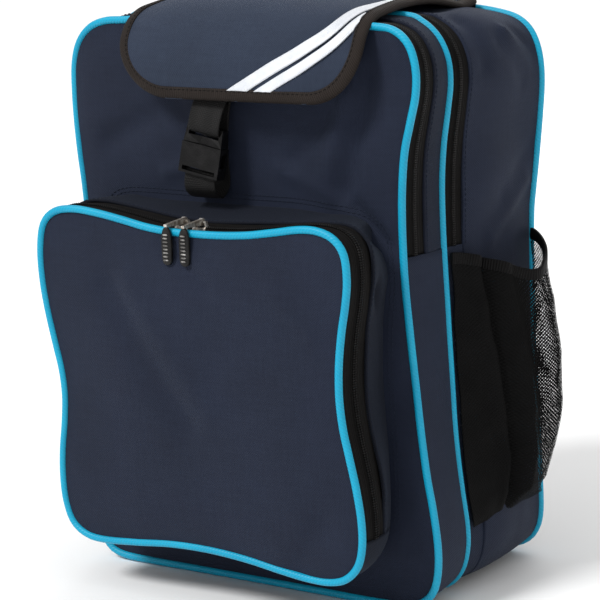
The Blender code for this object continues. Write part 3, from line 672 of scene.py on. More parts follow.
def teeth(name, line, out, across, reach):
    """The coil of a zip: short rods that reach to either side of its middle line in turn."""
    travelled = np.concatenate([[0], np.cumsum(np.linalg.norm(np.diff(line, axis=0), axis=1))])
    at = np.arange(0.001, travelled[-1], 0.0015)

    def sample(values):
        return np.stack([np.interp(at, travelled, values[:, k]) for k in range(3)], 1)

    middle, up, side = sample(line), unit(sample(out)), unit(sample(across))
    along = unit(np.cross(side, up)) * 0.0004
    starts = np.concatenate([middle - side * 0.0002 - along, middle + side * 0.0002 + along])
    ends = np.concatenate([middle + side * reach[1] + along, middle + side * reach[0] - along])
    return many(name, starts, ends, np.concatenate([up, up]), 0.0011, 0.0011, COIL)


SLIDER_TRACK_X = -0.1366


def compartment_zip(name, near, far, start, end, swell, node):
    """A zip set between two seams: one tape over both sides of its coil, and the coil's teeth."""
    columns = 41
    grid = upper_rows(band(near, far, start, end, columns, swell, proud=-0.0012))
    out = upper_rows(outward_of(near))
    grid = grid + out[:, None] * zip_profile(columns, 0.5, 0.16)
    grid[..., 0] = np.maximum(grid[..., 0], SLIDER_TRACK_X)
    tape = slab(f"{name}_tape", grid, 0.0012, ZIP_TAPE)
    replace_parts(tape, node)
    middle = grid[:, columns // 2] + out * 0.0001
    coil = teeth(f"{name}_coil", middle, out, np.broadcast_to(DOWN_THE_BAG, middle.shape), (-0.0019, 0.0019))


def edge_stitches(name, grid, column):
    """A row of stitches along one column of a grid, just inside its edge."""
    out = normals_of(grid)[:, column]
    stitch_run(name, grid[:, column] + out * 0.0002, out, NAVY_STITCH)


def creased(grid, out, creases):
    """Folds a cloth softly out, or in below 0, along lines given as start, end, width and height."""
    for start, end, width, height in creases:
        start, end = np.array(start), np.array(end)
        run = end - start
        share = np.clip((grid - start) @ run / (run @ run), 0, 1)[..., None]
        away = np.linalg.norm(grid - start - share * run, axis=-1, keepdims=True)
        grid = grid + height * np.exp(-(away / width) ** 2) * out
    return grid


def crowned(ring, rows, columns, crown, power, crumple, seed, way=-1.0):
    """A panel inside a seam, crowned out of the bag with soft dents."""
    grid = filled(ring, rows, columns)
    rise = dome(rows, columns, power)
    dents = ripple(grid, 0.085, crumple, seed) + ripple(grid, 0.026, crumple * 0.22, seed + 9)
    grid[..., 1:2] += way * (rise * crown + np.sqrt(rise) * dents)
    return grid


front_ring = seam_ring(FRONT_SEAM, FRONT_Y, ZIP_END_Z)
middle_ring = seam_ring(MIDDLE_SEAM, MIDDLE_Y, ZIP_END_Z)
rear_ring = seam_ring(REAR_SEAM, REAR_Y, ZIP_END_Z)
pocket_ring = seam_ring(POCKET_SEAM, POCKET_Y, POCKET_SPLIT_Z)


# Soft folds in the cloth, each with its start, end, width and height out of the bag
FRONT_CREASES = [
    ((0.097, -0.077, 0.345), (0.080, -0.077, 0.272), 0.0080, -0.0045),
    ((0.082, -0.077, 0.330), (0.066, -0.077, 0.282), 0.0090, 0.0035),
    ((0.071, -0.077, 0.320), (0.040, -0.077, 0.290), 0.0070, -0.0026),
    ((-0.050, -0.077, 0.322), (-0.108, -0.077, 0.296), 0.0090, -0.0032),
    ((-0.012, -0.077, 0.290), (-0.060, -0.077, 0.276), 0.0060, 0.0022),
    ((0.030, -0.077, 0.283), (0.070, -0.077, 0.268), 0.0060, 0.0022),
    ((0.088, -0.077, 0.262), (0.108, -0.077, 0.240), 0.0050, -0.0042),
    ((0.114, -0.077, 0.372), (0.120, -0.077, 0.352), 0.0050, 0.0026),
]
POCKET_CREASES = [
    ((-0.070, -0.134, 0.208), (-0.012, -0.134, 0.122), 0.0110, -0.0032),
    ((-0.052, -0.134, 0.212), (0.006, -0.134, 0.134), 0.0120, 0.0022),
    ((-0.026, -0.134, 0.240), (0.008, -0.134, 0.214), 0.0060, -0.0022),
    ((0.060, -0.134, 0.216), (0.086, -0.134, 0.190), 0.0070, 0.0019),
    ((0.070, -0.134, 0.040), (0.092, -0.134, 0.070), 0.0090, -0.0019),
]
MAIN_CREASES = [
    ((0.134, 0.030, 0.364), (0.134, 0.056, 0.338), 0.0036, 0.0032),
    ((0.134, 0.022, 0.356), (0.134, 0.046, 0.330), 0.0060, -0.0029),
    ((0.134, 0.046, 0.366), (0.134, 0.064, 0.346), 0.0040, -0.0019),
    ((0.120, 0.000, 0.372), (0.134, 0.004, 0.344), 0.0060, -0.0024),
    ((0.128, 0.060, 0.262), (0.128, 0.016, 0.232), 0.0060, 0.0032),
    ((0.128, 0.064, 0.285), (0.128, 0.030, 0.258), 0.0070, -0.0019),
]
POCKET_SIDE_CREASES = [
    ((0.106, -0.098, 0.240), (0.116, -0.090, 0.200), 0.0042, -0.0040),
    ((0.120, -0.088, 0.196), (0.124, -0.088, 0.070), 0.0055, -0.0046),
    ((0.118, -0.100, 0.180), (0.122, -0.100, 0.085), 0.0050, 0.0016),
    ((0.126, -0.082, 0.110), (0.121, -0.096, 0.052), 0.0040, -0.0026),
]


def make_front():
    """The front panel, crowned inside its piping, with soft creases."""
    grid = crowned(front_ring, 120, 90, 0.0045, 8, 0.0030, 3.1)
    grid = creased(grid, np.array((0.0, -1.0, 0.0)), FRONT_CREASES)
    panel = slab("front_panel_cloth", grid, CLOTH, CANVAS)
    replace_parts(panel, "front_panel")
    return tree_of(panel)


def make_compartments():
    """The two gussets round the bag, each with a zip over its top and a seam where the zip ends."""
    strip = upper_rows(band(front_ring, middle_ring, 0.515, 0.985, 9, 0.0012, crumple=0.0006, seed=1.5))
    # The strip between the pipings takes the darker canvas: painted shade.
    upper = slab("front_gusset_strip", strip, CLOTH, CANVAS_PAINTED_HALF_SHADE)
    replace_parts(upper, "front_gusset_upper")
    edge_stitches("front_gusset_stitches", strip, 1)
    lower = slab("front_gusset_lower_cloth", lower_rows(
        band(front_ring, middle_ring, 0.02, 0.985, 17, 0.0012, 0.0005, 0.0012, 4.0)), CLOTH, CANVAS)
    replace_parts(lower, "front_gusset_lower")
    compartment_zip("front_zip_band", front_ring, middle_ring, 0.03, 0.54, 0.0012, "front_zip")

    wall = band(middle_ring, rear_ring, 0.180, 0.985, 40, 0.0050, 0, 0.0048, 7.3)
    wall = creased(wall, outward_of(middle_ring)[:, None], MAIN_CREASES)
    whole = slab("main_gusset_cloth", wall, CLOTH, CANVAS, closed=True)
    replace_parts(whole, "main_gusset_upper")
    edge_stitches("main_gusset_stitches", upper_rows(wall), 1)
    lower = slab("main_gusset_lower_cloth", lower_rows(
        band(middle_ring, rear_ring, 0.015, 0.200, 10, 0.0050, -0.0006, 0.0010, 2.2)), CLOTH, CANVAS)
    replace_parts(lower, "main_gusset_lower")
    compartment_zip("main_zip_band", middle_ring, rear_ring, 0.012, 0.195, 0.0050, "main_zip")

    piping("front_piping_cord", front_ring, "front_piping")
    piping("middle_piping_cord", middle_ring, "middle_piping")
    piping("rear_piping_cord", rear_ring, "rear_piping")

    divider = filled(middle_ring, 40, 30)
    divider = slab("divider_lining", divider, 0.0020, LINING)
    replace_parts(divider, "divider_panel")


def make_base():
    """The stitched patch that the bag stands on."""
    half_x, half_y, middle_y = 0.100, 0.0478, 0.0212
    y, x = np.meshgrid(np.linspace(-half_y, half_y, 30), np.linspace(-half_x, half_x, 50), indexing="ij")
    corner = np.clip((np.abs(x) - half_x + 0.010) / 0.010, 0, 1) ** 2
    edge = np.clip(2.5 * np.abs(y) / half_y - 1.5, 0, 1)
    y = middle_y + y - 0.004 * corner * edge * np.sign(y)
    grid = np.stack([x, y, np.full_like(x, 0.0002)], -1)
    # The base takes the darker canvas: painted shade under the bag.
    patch = slab("base_patch_cloth", grid, 0.0024, CANVAS_PAINTED_HALF_SHADE)
    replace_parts(patch, "base_panel")


def make_pocket(panel):
    """The front pocket: its panel, piping and front zip tape swing down, and the rest is sewn on."""
    foot_places = np.array(POCKET_FOOT_SEAM)
    foot_ring = seam_ring(foot_places, FRONT_Y, POCKET_SPLIT_Z)
    for place in foot_ring:
        place[1] = onto(panel, place[0], place[2])[1] + 0.0006

    grid = crowned(pocket_ring, 90, 90, 0.0065, 4, 0.0024, 5.7)
    grid = creased(grid, np.array((0.0, -1.0, 0.0)), POCKET_CREASES)
    cloth = slab("pocket_panel_cloth", grid, 0.0020, CANVAS, "pocket_front")
    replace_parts(cloth, "pocket_panel")
    piping("pocket_piping_cord", pocket_ring, "pocket_piping", "pocket_front")

    out = upper_rows(outward_of(pocket_ring))
    halves = (("pocket_zip_front_half", 0.022, 0.2640, 1.0, 1, "pocket_front", "pocket_zip_front_tape"),
              ("pocket_zip_rear_half", 0.2700, 0.510, 0.0, -1, "root", "pocket_zip_rear_tape"))
    for name, start, end, coil_at, way, body, node in halves:
        tape_grid = upper_rows(band(pocket_ring, foot_ring, start, end, 23, 0.0030, -0.0010, turn_in=2.0))
        tape_grid = tape_grid + out[:, None] * zip_profile(23, coil_at, 0.17)
        tape = slab(f"{name}_tape", tape_grid, 0.0011, ZIP_TAPE, body)
        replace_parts(tape, node)
        edge = tape_grid[:, -1] if way > 0 else tape_grid[:, 0]
        reach = (-0.0018, -0.0002) if way > 0 else (0.0002, 0.0018)
        half_teeth(f"{name}_coil", edge, out, reach, body)

    wall = band(pocket_ring, foot_ring, 0.490, 0.995, 24, 0.0040, 0, 0.0022, 6.1, turn_in=2.0)
    wall = pleated(upper_rows(wall), upper_rows(outward_of(pocket_ring)))
    wall = creased(wall, upper_rows(outward_of(pocket_ring))[:, None], POCKET_SIDE_CREASES)
    # The pocket's side wall takes the darkest canvas: painted shade.
    upper = slab("pocket_gusset_upper_cloth", wall, 0.0018, CANVAS_SHADE)
    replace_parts(upper, "pocket_gusset_upper")
    edge_stitches("pocket_gusset_stitches", wall, 1)
    foot = lower_rows(band(pocket_ring, foot_ring, 0.030, 0.995, 40, 0.0030, 0.0004, 0.0020, 8.4, 2.0))
    # The pocket's foot takes the darkest canvas: painted shade.
    lower = slab("pocket_gusset_lower_cloth", foot, 0.0018, CANVAS_SHADE)
    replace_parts(lower, "pocket_gusset_lower")
    make_panel_stitches(panel, foot_ring)


def half_teeth(name, edge, out, reach, body):
    """One side of a parted zip's coil."""
    travelled = np.concatenate([[0], np.cumsum(np.linalg.norm(np.diff(edge, axis=0), axis=1))])
    at = np.arange(0.001, travelled[-1], 0.0016)
    place = np.stack([np.interp(at, travelled, edge[:, k]) for k in range(3)], 1)
    up = unit(np.stack([np.interp(at, travelled, out[:, k]) for k in range(3)], 1))
    across = np.array(DOWN_THE_BAG)
    coil = many(name, place + across * reach[0] + up * 0.0003, place + across * reach[1] + up * 0.0003, up,
                0.0012, 0.0011, COIL, body)


def pleated(grid, out):
    """Folds the cloth in where a gusset turns its top corners."""
    depth = np.linspace(0, 1, grid.shape[1])[None, :, None] ** 0.7
    edge_x, edge_z = grid[:, 0, 0], grid[:, 0, 2]
    for corner in (int(np.argmax(edge_x + edge_z)), int(np.argmax(edge_z - edge_x))):
        away = (np.arange(len(grid)) - corner)[:, None, None]
        fold = 0.0070 * np.exp(-(away / 2.2) ** 2) - 0.0022 * np.exp(-((np.abs(away) - 7) / 3.5) ** 2)
        grid = grid - out[:, None] * fold * depth
    return grid


def make_panel_stitches(panel, foot_ring):
    """Two rows of stitches on the front panel round the top and sides of the pocket."""
    ring = upper_rows(foot_ring)
    out = upper_rows(outward_of(foot_ring))
    for row, away in enumerate((0.0040, 0.0068)):
        line = ring + out * away
        line = np.array([onto(panel, x, z, 0.0003) for x, _, z in line])
        ups = np.broadcast_to((0.0, -1.0, 0.0), line.shape)
        stitches = stitch_run(f"panel_stitches_{row}", line, ups, NAVY_STITCH)


# The flap: its centre line as (y, z) places from the rear seam, over the top and down the front
FLAP_LINE = [
    (0.0660, 0.3830), (0.0450, 0.3862), (0.0100, 0.3882), (-0.0250, 0.3884), (-0.0500, 0.3868),
    (-0.0670, 0.3835), (-0.0795, 0.3765), (-0.0880, 0.3655), (-0.0935, 0.3515), (-0.0960, 0.3370),
    (-0.0962, 0.3280),
]
FLAP_STEPS = 160
RIM_STEPS = 220
FLAP_HALF_WIDTH = 0.0950
FLAP_CORNER = 0.040
FLAP_SHIFT = 0.0135
FLAP_CLOTH = 0.0028
HINGE_Z = 0.3825
BINDING_WIDTH = 0.0078
BINDING_THICKNESS = 0.0046
# The stripes' shared path in the flap's flat pattern, then each one's place beside it and its width
STRIPE_PATH = [
    (-0.0280, 0.2065), (0.0000, 0.1920), (0.0270, 0.1780), (0.0516, 0.1650), (0.0704, 0.1500),
    (0.0805, 0.1250), (0.0860, 0.0980), (0.0890, 0.0700),
]
STRIPES = (("inner", -0.0002, 0.0074), ("outer", 0.0094, 0.0060))

flap_line = spline(FLAP_LINE, FLAP_STEPS)
flap_travel = np.concatenate([[0], np.cumsum(np.linalg.norm(np.diff(flap_line, axis=0), axis=1))])
FLAP_LENGTH = flap_travel[-1]
flap_along = unit(np.gradient(flap_line, axis=0))


def flap_droop(x, distance):
    """How far the flap's sides hang below its middle, and the slight waves along its edges."""
    back = np.clip(1 - distance / 0.10, 0, 1) * np.clip(0.15 + distance / 0.018, 0, 1)
    side_hang = 0.0035 * np.clip(0.75 + distance / 0.030, 0, 1)
    front = np.clip((distance - 0.150) / 0.06, 0, 1)
    side = np.clip(np.abs(x) / FLAP_HALF_WIDTH, 0, 1.1) ** 3
    wave = 0.0012 * np.sin(distance * 60 + 1.0) * side
    return side * (side_hang + 0.0055 * back - 0.0022 * front) - 0.0022 * (1 - side) * (1 - back) + wave


def on_flap(x, distance, lift):
    """The places of the flap's flat pattern: x across it, and distance from its rear seam."""
    x, distance, lift = np.broadcast_arrays(x, distance, lift)
    aside = FLAP_SHIFT * np.clip(distance / FLAP_LENGTH, 0, 1) ** 2
    y = np.interp(distance, flap_travel, flap_line[:, 0])
    z = np.interp(distance, flap_travel, flap_line[:, 1])
    along_y = np.interp(distance, flap_travel, flap_along[:, 0])
    along_z = np.interp(distance, flap_travel, flap_along[:, 1])
    size = np.hypot(along_y, along_z)
    rise = lift - flap_droop(x, distance)
    return np.stack([x + aside, y + along_z / size * rise, z - along_y / size * rise], -1)


def flap_half_width(distance, inset):
    bend = np.clip(distance - (FLAP_LENGTH - FLAP_CORNER), 0, FLAP_CORNER - inset)
    return FLAP_HALF_WIDTH - FLAP_CORNER + np.sqrt(np.maximum((FLAP_CORNER - inset) ** 2 - bend ** 2, 0))


def flap_rim(inset):
    """The flap's cut edge in its flat pattern, from the rear right round the front to the rear left."""
    side = FLAP_HALF_WIDTH - inset
    bend = FLAP_LENGTH - FLAP_CORNER
    turns = np.linspace(0, TURN / 4, 24)
    radius = FLAP_CORNER - inset
    x = np.concatenate([[side] * 60, FLAP_HALF_WIDTH - FLAP_CORNER + radius * np.cos(turns)])
    d = np.concatenate([np.linspace(0, bend, 60, endpoint=False), bend + radius * np.sin(turns)])
    rim = np.stack([np.concatenate([x, -x[::-1]]), np.concatenate([d, d[::-1]])], 1)
    travelled = np.concatenate([[0], np.cumsum(np.linalg.norm(np.diff(rim, axis=0), axis=1))])
    at = np.linspace(0, travelled[-1], RIM_STEPS)
    return np.stack([np.interp(at, travelled, rim[:, k]) for k in (0, 1)], 1)


def make_flap():
    """The flap's cloth and lining, then its hinge, its edge binding and its two stripes."""
    rows = np.concatenate([np.linspace(0, FLAP_LENGTH - FLAP_CORNER, 60, endpoint=False),
                           FLAP_LENGTH - FLAP_CORNER + FLAP_CORNER * np.sin(np.linspace(0, TURN / 4, 40))])
    inset = 0.0030
    rows = np.minimum(rows, FLAP_LENGTH - inset)
    half = flap_half_width(rows, inset)[:, None]
    across = np.linspace(-1, 1, 70)[None]
    grid = on_flap(half * across, rows[:, None], FLAP_CLOTH / 2)
    grid += normals_of(grid) * ripple(grid, 0.045, 0.0010, 4.4)
    # The flap cloth takes the lighter canvas: painted light from above.
    cloth = slab("flap_cloth", grid, FLAP_CLOTH, CANVAS_FLAP_PAINTED_LIGHT, "flap")
    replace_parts(cloth, "flap_panel")
    lining_grid = on_flap(half * across * 0.97, rows[:, None], -FLAP_CLOTH / 2 - 0.0004)
    lining = slab("flap_lining", lining_grid, 0.0006, LINING, "flap")
    make_flap_hinge()
    make_flap_binding()
    for name, start, width in STRIPES:
        make_stripe(name, start, width)


def make_flap_hinge():
    """The cloth that joins the flap to the top of the bag at its rear seam."""
    x = np.linspace(-FLAP_HALF_WIDTH + 0.004, FLAP_HALF_WIDTH - 0.004, 60)
    top = np.array([rear_ring[np.argmin(np.abs(rear_ring[:, 0] - place) + (rear_ring[:, 2] < 0.19)), 2]
                    for place in x])
    seam = np.stack([x, np.full_like(x, 0.0705), top + 0.0004], 1)
    fold = np.stack([x, np.full_like(x, 0.0712), np.full_like(x, HINGE_Z - 0.0010)], 1)
    flap = on_flap(x, 0.0010, -FLAP_CLOTH / 2)
    grid = np.stack([seam, (seam + fold) / 2, fold, (fold + flap) / 2, flap], 1)
    # The hinge cloth takes the darker canvas: painted shade under the flap.
    cloth = slab("flap_hinge_cloth", grid, 0.0010, CANVAS_PAINTED_HALF_SHADE, None)
    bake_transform(cloth)


def make_flap_binding():
    """A tape folded over the flap's edge, and the stitches through it on both faces."""
    half = BINDING_THICKNESS / 2
    profile = [(BINDING_WIDTH, 0.72 * half), (BINDING_WIDTH - 0.0006, 0.98 * half), (0.0045, 1.06 * half),
               (0.0022, 1.04 * half), (0.0006, 0.62 * half), (0.0, 0.0), (0.0006, -0.62 * half),
               (0.0022, -1.04 * half), (0.0045, -1.06 * half), (BINDING_WIDTH - 0.0006, -0.98 * half),
               (BINDING_WIDTH, -0.72 * half)]
    tracks = []
    for inset, lift in profile:
        rim = flap_rim(inset)
        tracks.append(on_flap(rim[:, 0], rim[:, 1], lift))
    rings = np.stack(tracks, 1)
    binding = loft("flap_edge_binding", rings, EDGE_TAPE, "flap")
    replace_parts(binding, "flap_binding")
    for name, way in (("outer", 1), ("inner", -1)):
        rim = flap_rim(BINDING_WIDTH - 0.0014)
        line = on_flap(rim[:, 0], rim[:, 1], way * (half + 0.0001))
        ups = unit(line - on_flap(rim[:, 0], rim[:, 1], 0.0))
        stitch_run(f"flap_stitches_{name}", line, ups, DARK_THREAD, "flap")


def make_stripe(name, start, width):
    """A reflective tape that climbs from the flap's front edge to its right-hand edge, under the binding."""
    front = FLAP_LENGTH - BINDING_WIDTH + 0.0010
    right = FLAP_HALF_WIDTH - BINDING_WIDTH + 0.0010
    path = spline(STRIPE_PATH, 400)
    along = unit(np.gradient(path, axis=0))
    beside = np.stack([-along[:, 1], along[:, 0]], 1)
    tracks = []
    for share in np.linspace(0, 1, 8):
        track = path + beside * (start + width * share)
        track = track[(track[:, 1] < front) & (track[:, 0] < right)]
        tracks.append(spline(track[::6], 90))
    tracks = np.stack(tracks, 1)
    grid = on_flap(tracks[..., 0], tracks[..., 1], FLAP_CLOTH / 2 + 0.0011)
    stripe = slab(f"reflective_tape_{name}", grid, 0.0009, REFLECTIVE, "flap")
    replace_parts(stripe, f"reflective_stripe_{name}")


# The buckle's own frame, as in the part: X across it, Y into the bag and Z up its strap
BUCKLE_PLACE = np.array((-0.0160, -0.0925, 0.2985))
BUCKLE_UP = unit(np.array((0.17, 0.08, 1.0)))
BUCKLE_IN = unit(np.cross(BUCKLE_UP, np.cross((0.0, 1.0, 0.0), BUCKLE_UP)))
BUCKLE_ACROSS = np.cross(BUCKLE_IN, BUCKLE_UP)
WEBBING_WIDTH = 0.0245
WEBBING_THICKNESS = 0.0015


def in_buckle(places):
    places = np.asarray(places, float)
    return (BUCKLE_PLACE + places[:, :1] * BUCKLE_ACROSS + places[:, 1:2] * BUCKLE_IN
            + places[:, 2:] * BUCKLE_UP)


def webbing(name, line, across, material=None, body="root", width=WEBBING_WIDTH, thickness=WEBBING_THICKNESS):
    strap = sweep(name, line, across, oval(width, thickness, 0.35, 20), material or WEBBING, body)
    return strap


def rounded(node, width, material, segments=3):
    """Keeps a node of the frame, with its hard edges rounded and a finer finish."""
    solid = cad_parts[node]
    bevel = solid.modifiers.new("rounded_edges", "BEVEL")
    bevel.width = width
    bevel.segments = segments
    bevel.limit_method = "ANGLE"
    bevel.angle_limit = math.radians(35)
    bevel.harden_normals = False
    solid.data.materials.clear()
    solid.data.materials.append(material)
    return solid


# The webbing through the plug, in the buckle's frame: down behind it, round its bar and up again
FLAP_STRAP_LINE = [
    (0, 0.0030, 0.0500), (0, 0.0000, 0.0360), (0, -0.0042, 0.0220), (0, -0.0052, 0.0140),
    (0, -0.0049, 0.0100), (0, -0.0030, 0.0078), (0, 0.0010, 0.0072), (0, 0.0042, 0.0086),
    (0, 0.0050, 0.0130), (0, 0.0036, 0.0240), (0, 0.0040, 0.0360), (0, 0.0050, 0.0480),
]


def make_buckle(panel):
    """The buckle's webbing: from under the flap through its plug, and from its socket back to the panel."""
    upper = in_buckle(spline(FLAP_STRAP_LINE, 80))
    strap = webbing("flap_strap", upper, BUCKLE_ACROSS, body=None)
    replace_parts(strap, "flap_webbing")
    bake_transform(strap)

    foot = in_buckle([(0, -0.0006, -0.0240), (0, -0.0004, -0.0170)])
    x = foot[0][0]
    sewn = [onto(panel, x, z, 0.0009) for z in (0.3030, 0.2930, 0.2820)]
    low = onto(panel, x, 0.2720, 0.0016)
    turn = [(x, low[1] - 0.0050, 0.2655), (x, -0.0880, 0.2640), (x, -0.0942, 0.2690)]
    line = spline(sewn + [low] + turn + [tuple(place) for place in foot], 70)
    loop = webbing("socket_strap", line, ACROSS_THE_BAG)
    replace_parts(loop, "socket_webbing")
    sewn_patch(panel, x)
    for node in ("buckle_socket", "buckle_plug", "buckle_prong_left", "buckle_prong_right"):
        rounded(node, 0.0006, PLASTIC)


def sewn_patch(panel, x):
    """The cross of stitches that holds the socket's webbing to the panel."""
    corners = [(-0.0095, 0.3015), (0.0095, 0.3015), (0.0095, 0.2900), (-0.0095, 0.2900)]
    path = [corners[k] for k in (0, 1, 2, 3, 0, 2)] + [corners[1], corners[3]]
    line = []
    for (a, b), (c, d) in zip(path, path[1:]):
        for share in np.linspace(0, 1, 8):
            line.append(onto(panel, x + a + (c - a) * share, b + (d - b) * share, 0.0019))
    line = np.array(line)
    ups = np.broadcast_to((0.0, -1.0, 0.0), line.shape)
    stitch_run("socket_strap_stitches", line, ups, DARK_THREAD)


PULL_STEPS = 34
RIDGES = 7
BARS = 8


def grip(name, top, down, face, length, width, thickness, node, body):
    """A moulded rubber pull: a long rounded tab, waisted at its top, with plain raised bars down it."""
    top, down, face = (np.asarray(v, float) for v in (top, down, face))
    down, face = unit(down), unit(face)
    across = np.cross(face, down)
    share = np.linspace(0, 1, PULL_STEPS)
    ends = np.sqrt(np.clip(1 - (np.abs(share - 0.5) * 2) ** 8, 0, 1))
    broad = width * (0.62 + 0.38 * np.clip(share * 4, 0, 1) - 0.10 * share ** 4) * ends + 0.0004
    ridged = np.clip((share - 0.22) * 8, 0, 1) * np.clip((0.93 - share) * 12, 0, 1)
    ridge = 0.0007 * ridged * np.abs(np.sin(math.pi * RIDGES * share)) ** 0.7
    deep = thickness * (0.65 + 0.35 * ends) + ridge - 0.0002
    turns = TURN * np.arange(16) / 16
    x = np.sign(np.cos(turns)) * np.abs(np.cos(turns)) ** 0.55
    y = np.sign(np.sin(turns)) * np.abs(np.sin(turns)) ** 0.55
    rings = (top + down * share[:, None] * length)[:, None]
    rings = rings + across * (broad[:, None] / 2 * x)[..., None] + face * (deep[:, None] / 2 * y)[..., None]
    pull = loft(name, rings, RUBBER, body)
    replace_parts(pull, node)
    levels = np.linspace(0.20, 0.86, BARS)[:, None]
    lines = top + down * levels * length + face * (thickness / 2 + 0.0004)
    half = across * width * 0.30
    bars = many(f"{name}_bars", lines - half, lines + half, np.broadcast_to(face, lines.shape),
                0.0012, 0.0009, PALE_RIB, body)


def make_pulls():
    """Ridged rubber pulls on every zip, over the frame's sliders and tabs in plated metal."""
    for side in ("left", "right"):
        low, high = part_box(f"pocket_zip_pull_{side}")
        middle = (low + high) / 2
        top = (middle.x, middle.y, high.z + 0.0004)
        grip(f"pocket_grip_{side}", top, (0, 0, -1), (0, -1, 0), high.z - low.z + 0.0008,
             high.x - low.x, 0.0030, f"pocket_zip_pull_{side}", f"pocket_pull_{side}")
        rounded(f"pocket_zip_slider_{side}", 0.0004, METAL)
        rounded(f"pocket_zip_tab_{side}", 0.0003, METAL)
    for zip_name in ("front", "main"):
        low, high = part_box(f"{zip_name}_zip_pull")
        middle = (low + high) / 2
        top = (middle.x, middle.y, high.z + 0.0004)
        grip(f"{zip_name}_zip_grip", top, (0, 0, -1), (-1, 0, 0), high.z - low.z + 0.0008,
             high.y - low.y, 0.0030, f"{zip_name}_zip_pull", f"{zip_name}_pull")
        rounded(f"{zip_name}_zip_slider", 0.0004, METAL)
        rounded(f"{zip_name}_zip_tab", 0.0002, METAL)


# The mesh side pockets
MESH_FRONT_Y = -0.0262
MESH_REAR_Y = 0.0690
MESH_FOOT_Z = 0.0470
MESH_FRONT_RIM_Z = 0.2245
MESH_REAR_RIM_Z = 0.2260
MESH_RIM_DIP = 0.0170
MESH_BULGE = 0.0400
MESH_ROWS = 70
MESH_COLUMNS = 90


def side_x(side, y, z):
    """Where the bag's side wall is, from its middle and rear seams."""
    walls = []
    for ring in (middle_ring, rear_ring):
        half = ring[ring[:, 0] * side > 0]
        order = np.argsort(half[:, 2])
        walls.append(np.interp(z, half[order, 2], np.abs(half[order, 0])))
    share = np.clip((y - MIDDLE_Y) / (REAR_Y - MIDDLE_Y), 0, 1)
    return walls[0] * (1 - share) + walls[1] * share


def mesh_grid(side):
    """A side pocket: rows up from its foot, columns from front to rear, baggy and pleated."""
    level = np.linspace(0, 1, MESH_ROWS)[:, None]
    along = np.linspace(0, 1, MESH_COLUMNS)[None]
    rim = (MESH_FRONT_RIM_Z + (MESH_REAR_RIM_Z - MESH_FRONT_RIM_Z) * along ** 2
           - MESH_RIM_DIP * np.sin(math.pi * along ** 1.15) ** 1.4)
    z = MESH_FOOT_Z + level * (rim - MESH_FOOT_Z)
    y = MESH_FRONT_Y + (MESH_REAR_Y - MESH_FRONT_Y) * (along + 0.05 * np.sin(TURN * along) * level)
    belly = np.sin(math.pi * along ** 1.45) ** 0.85
    swell = np.interp(level[:, 0], [0, 0.10, 0.25, 0.45, 0.65, 0.85, 1.0],
                      [0.02, 0.42, 0.74, 0.95, 1.0, 0.92, 0.76])[:, None]
    pleat_at = 0.20 + 0.20 * (1 - level) ** 1.3
    pleat = (-0.0075 * np.exp(-((along - pleat_at) / 0.030) ** 2)
             + 0.0040 * np.exp(-((along - pleat_at - 0.085) / 0.045) ** 2)
             + 0.0018 * np.exp(-((along - pleat_at + 0.070) / 0.035) ** 2))
    fold = 0.0016 * np.sin(TURN * (along * 2.6 + level * 0.8)) * np.sin(math.pi * along) * (1 - 0.5 * level)
    free = np.clip(np.sin(math.pi * along) * 2.2, 0, 1) * np.clip(level * 9, 0, 1)
    x = side_x(side, y, z) + 0.0034 + MESH_BULGE * belly * swell + (pleat + fold) * free
    y, z = np.broadcast_arrays(y + 0 * x, z + 0 * x)
    return np.stack([side * x, y, z], -1)


def make_side_pockets():
    for name, side in (("left", -1), ("right", 1)):
        grid = mesh_grid(side)
        grid[..., :1] += side * ripple(grid, 0.020, 0.0014, 3.0 + side)
        pocket = slab(f"mesh_pocket_{name}", grid, 0.0007, NET)
        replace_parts(pocket, f"side_pocket_{name}")
        rim = grid[-1] + (0, 0, -0.0010)
        binding = sweep(f"mesh_rim_{name}", rim, (0.0, 0.0, 1.0), oval(0.0076, 0.0024, 0.5, 16), ELASTIC)
        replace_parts(binding, f"side_pocket_binding_{name}")


# The back of the bag and what hangs on it
BACK_PAD_HALF_WIDTH = 0.1120
BACK_PAD_FOOT_Z = 0.0860
BACK_PAD_TOP_Z = 0.3140
BACK_PAD_CHANNEL = 0.0095
PAD_Y = 0.0800
BACK_SEAM_PROUD = 0.0012
BACK_CROWN = 0.0095
STRAP_LINE = [
    (0.066, 0.0775, 0.3670), (0.066, 0.0880, 0.3600), (0.066, 0.0990, 0.3430), (0.067, 0.1100, 0.310),
    (0.069, 0.1150, 0.260), (0.071, 0.1150, 0.200), (0.074, 0.1090, 0.150), (0.077, 0.1035, 0.117),
]
STRAP_WIDTHS = (0.0500, 0.0510, 0.0540, 0.0550, 0.0550, 0.0540, 0.0470, 0.0360)
STRAP_PAD_THICKNESS = 0.0088
UPPER_WEBBING_LINE = [
    (0.0764, 0.1035, 0.1290), (0.0772, 0.1032, 0.1180), (0.0778, 0.1052, 0.1085), (0.0780, 0.1050, 0.1050),
]
LOWER_WEBBING_LINE = [
    (0.0785, 0.1003, 0.0878), (0.0792, 0.0995, 0.0820), (0.0860, 0.0970, 0.0690), (0.0965, 0.0930, 0.0560),
    (0.1060, 0.0890, 0.0430),
]
WING_CORNERS = ((0.1255, 0.080), (0.1265, 0.036), (0.090, 0.034), (0.100, 0.056))
WING_Y = 0.0863
HAUL_HINGE = (0.0, 0.0862, 0.3660)
HAUL_RADIUS = 0.026
HAUL_DROP = 0.014
VOXEL = 0.0050
CLOTH_FRAMES = 20
OUT_OF_THE_BACK = (0.0, 1.0, 0.0)


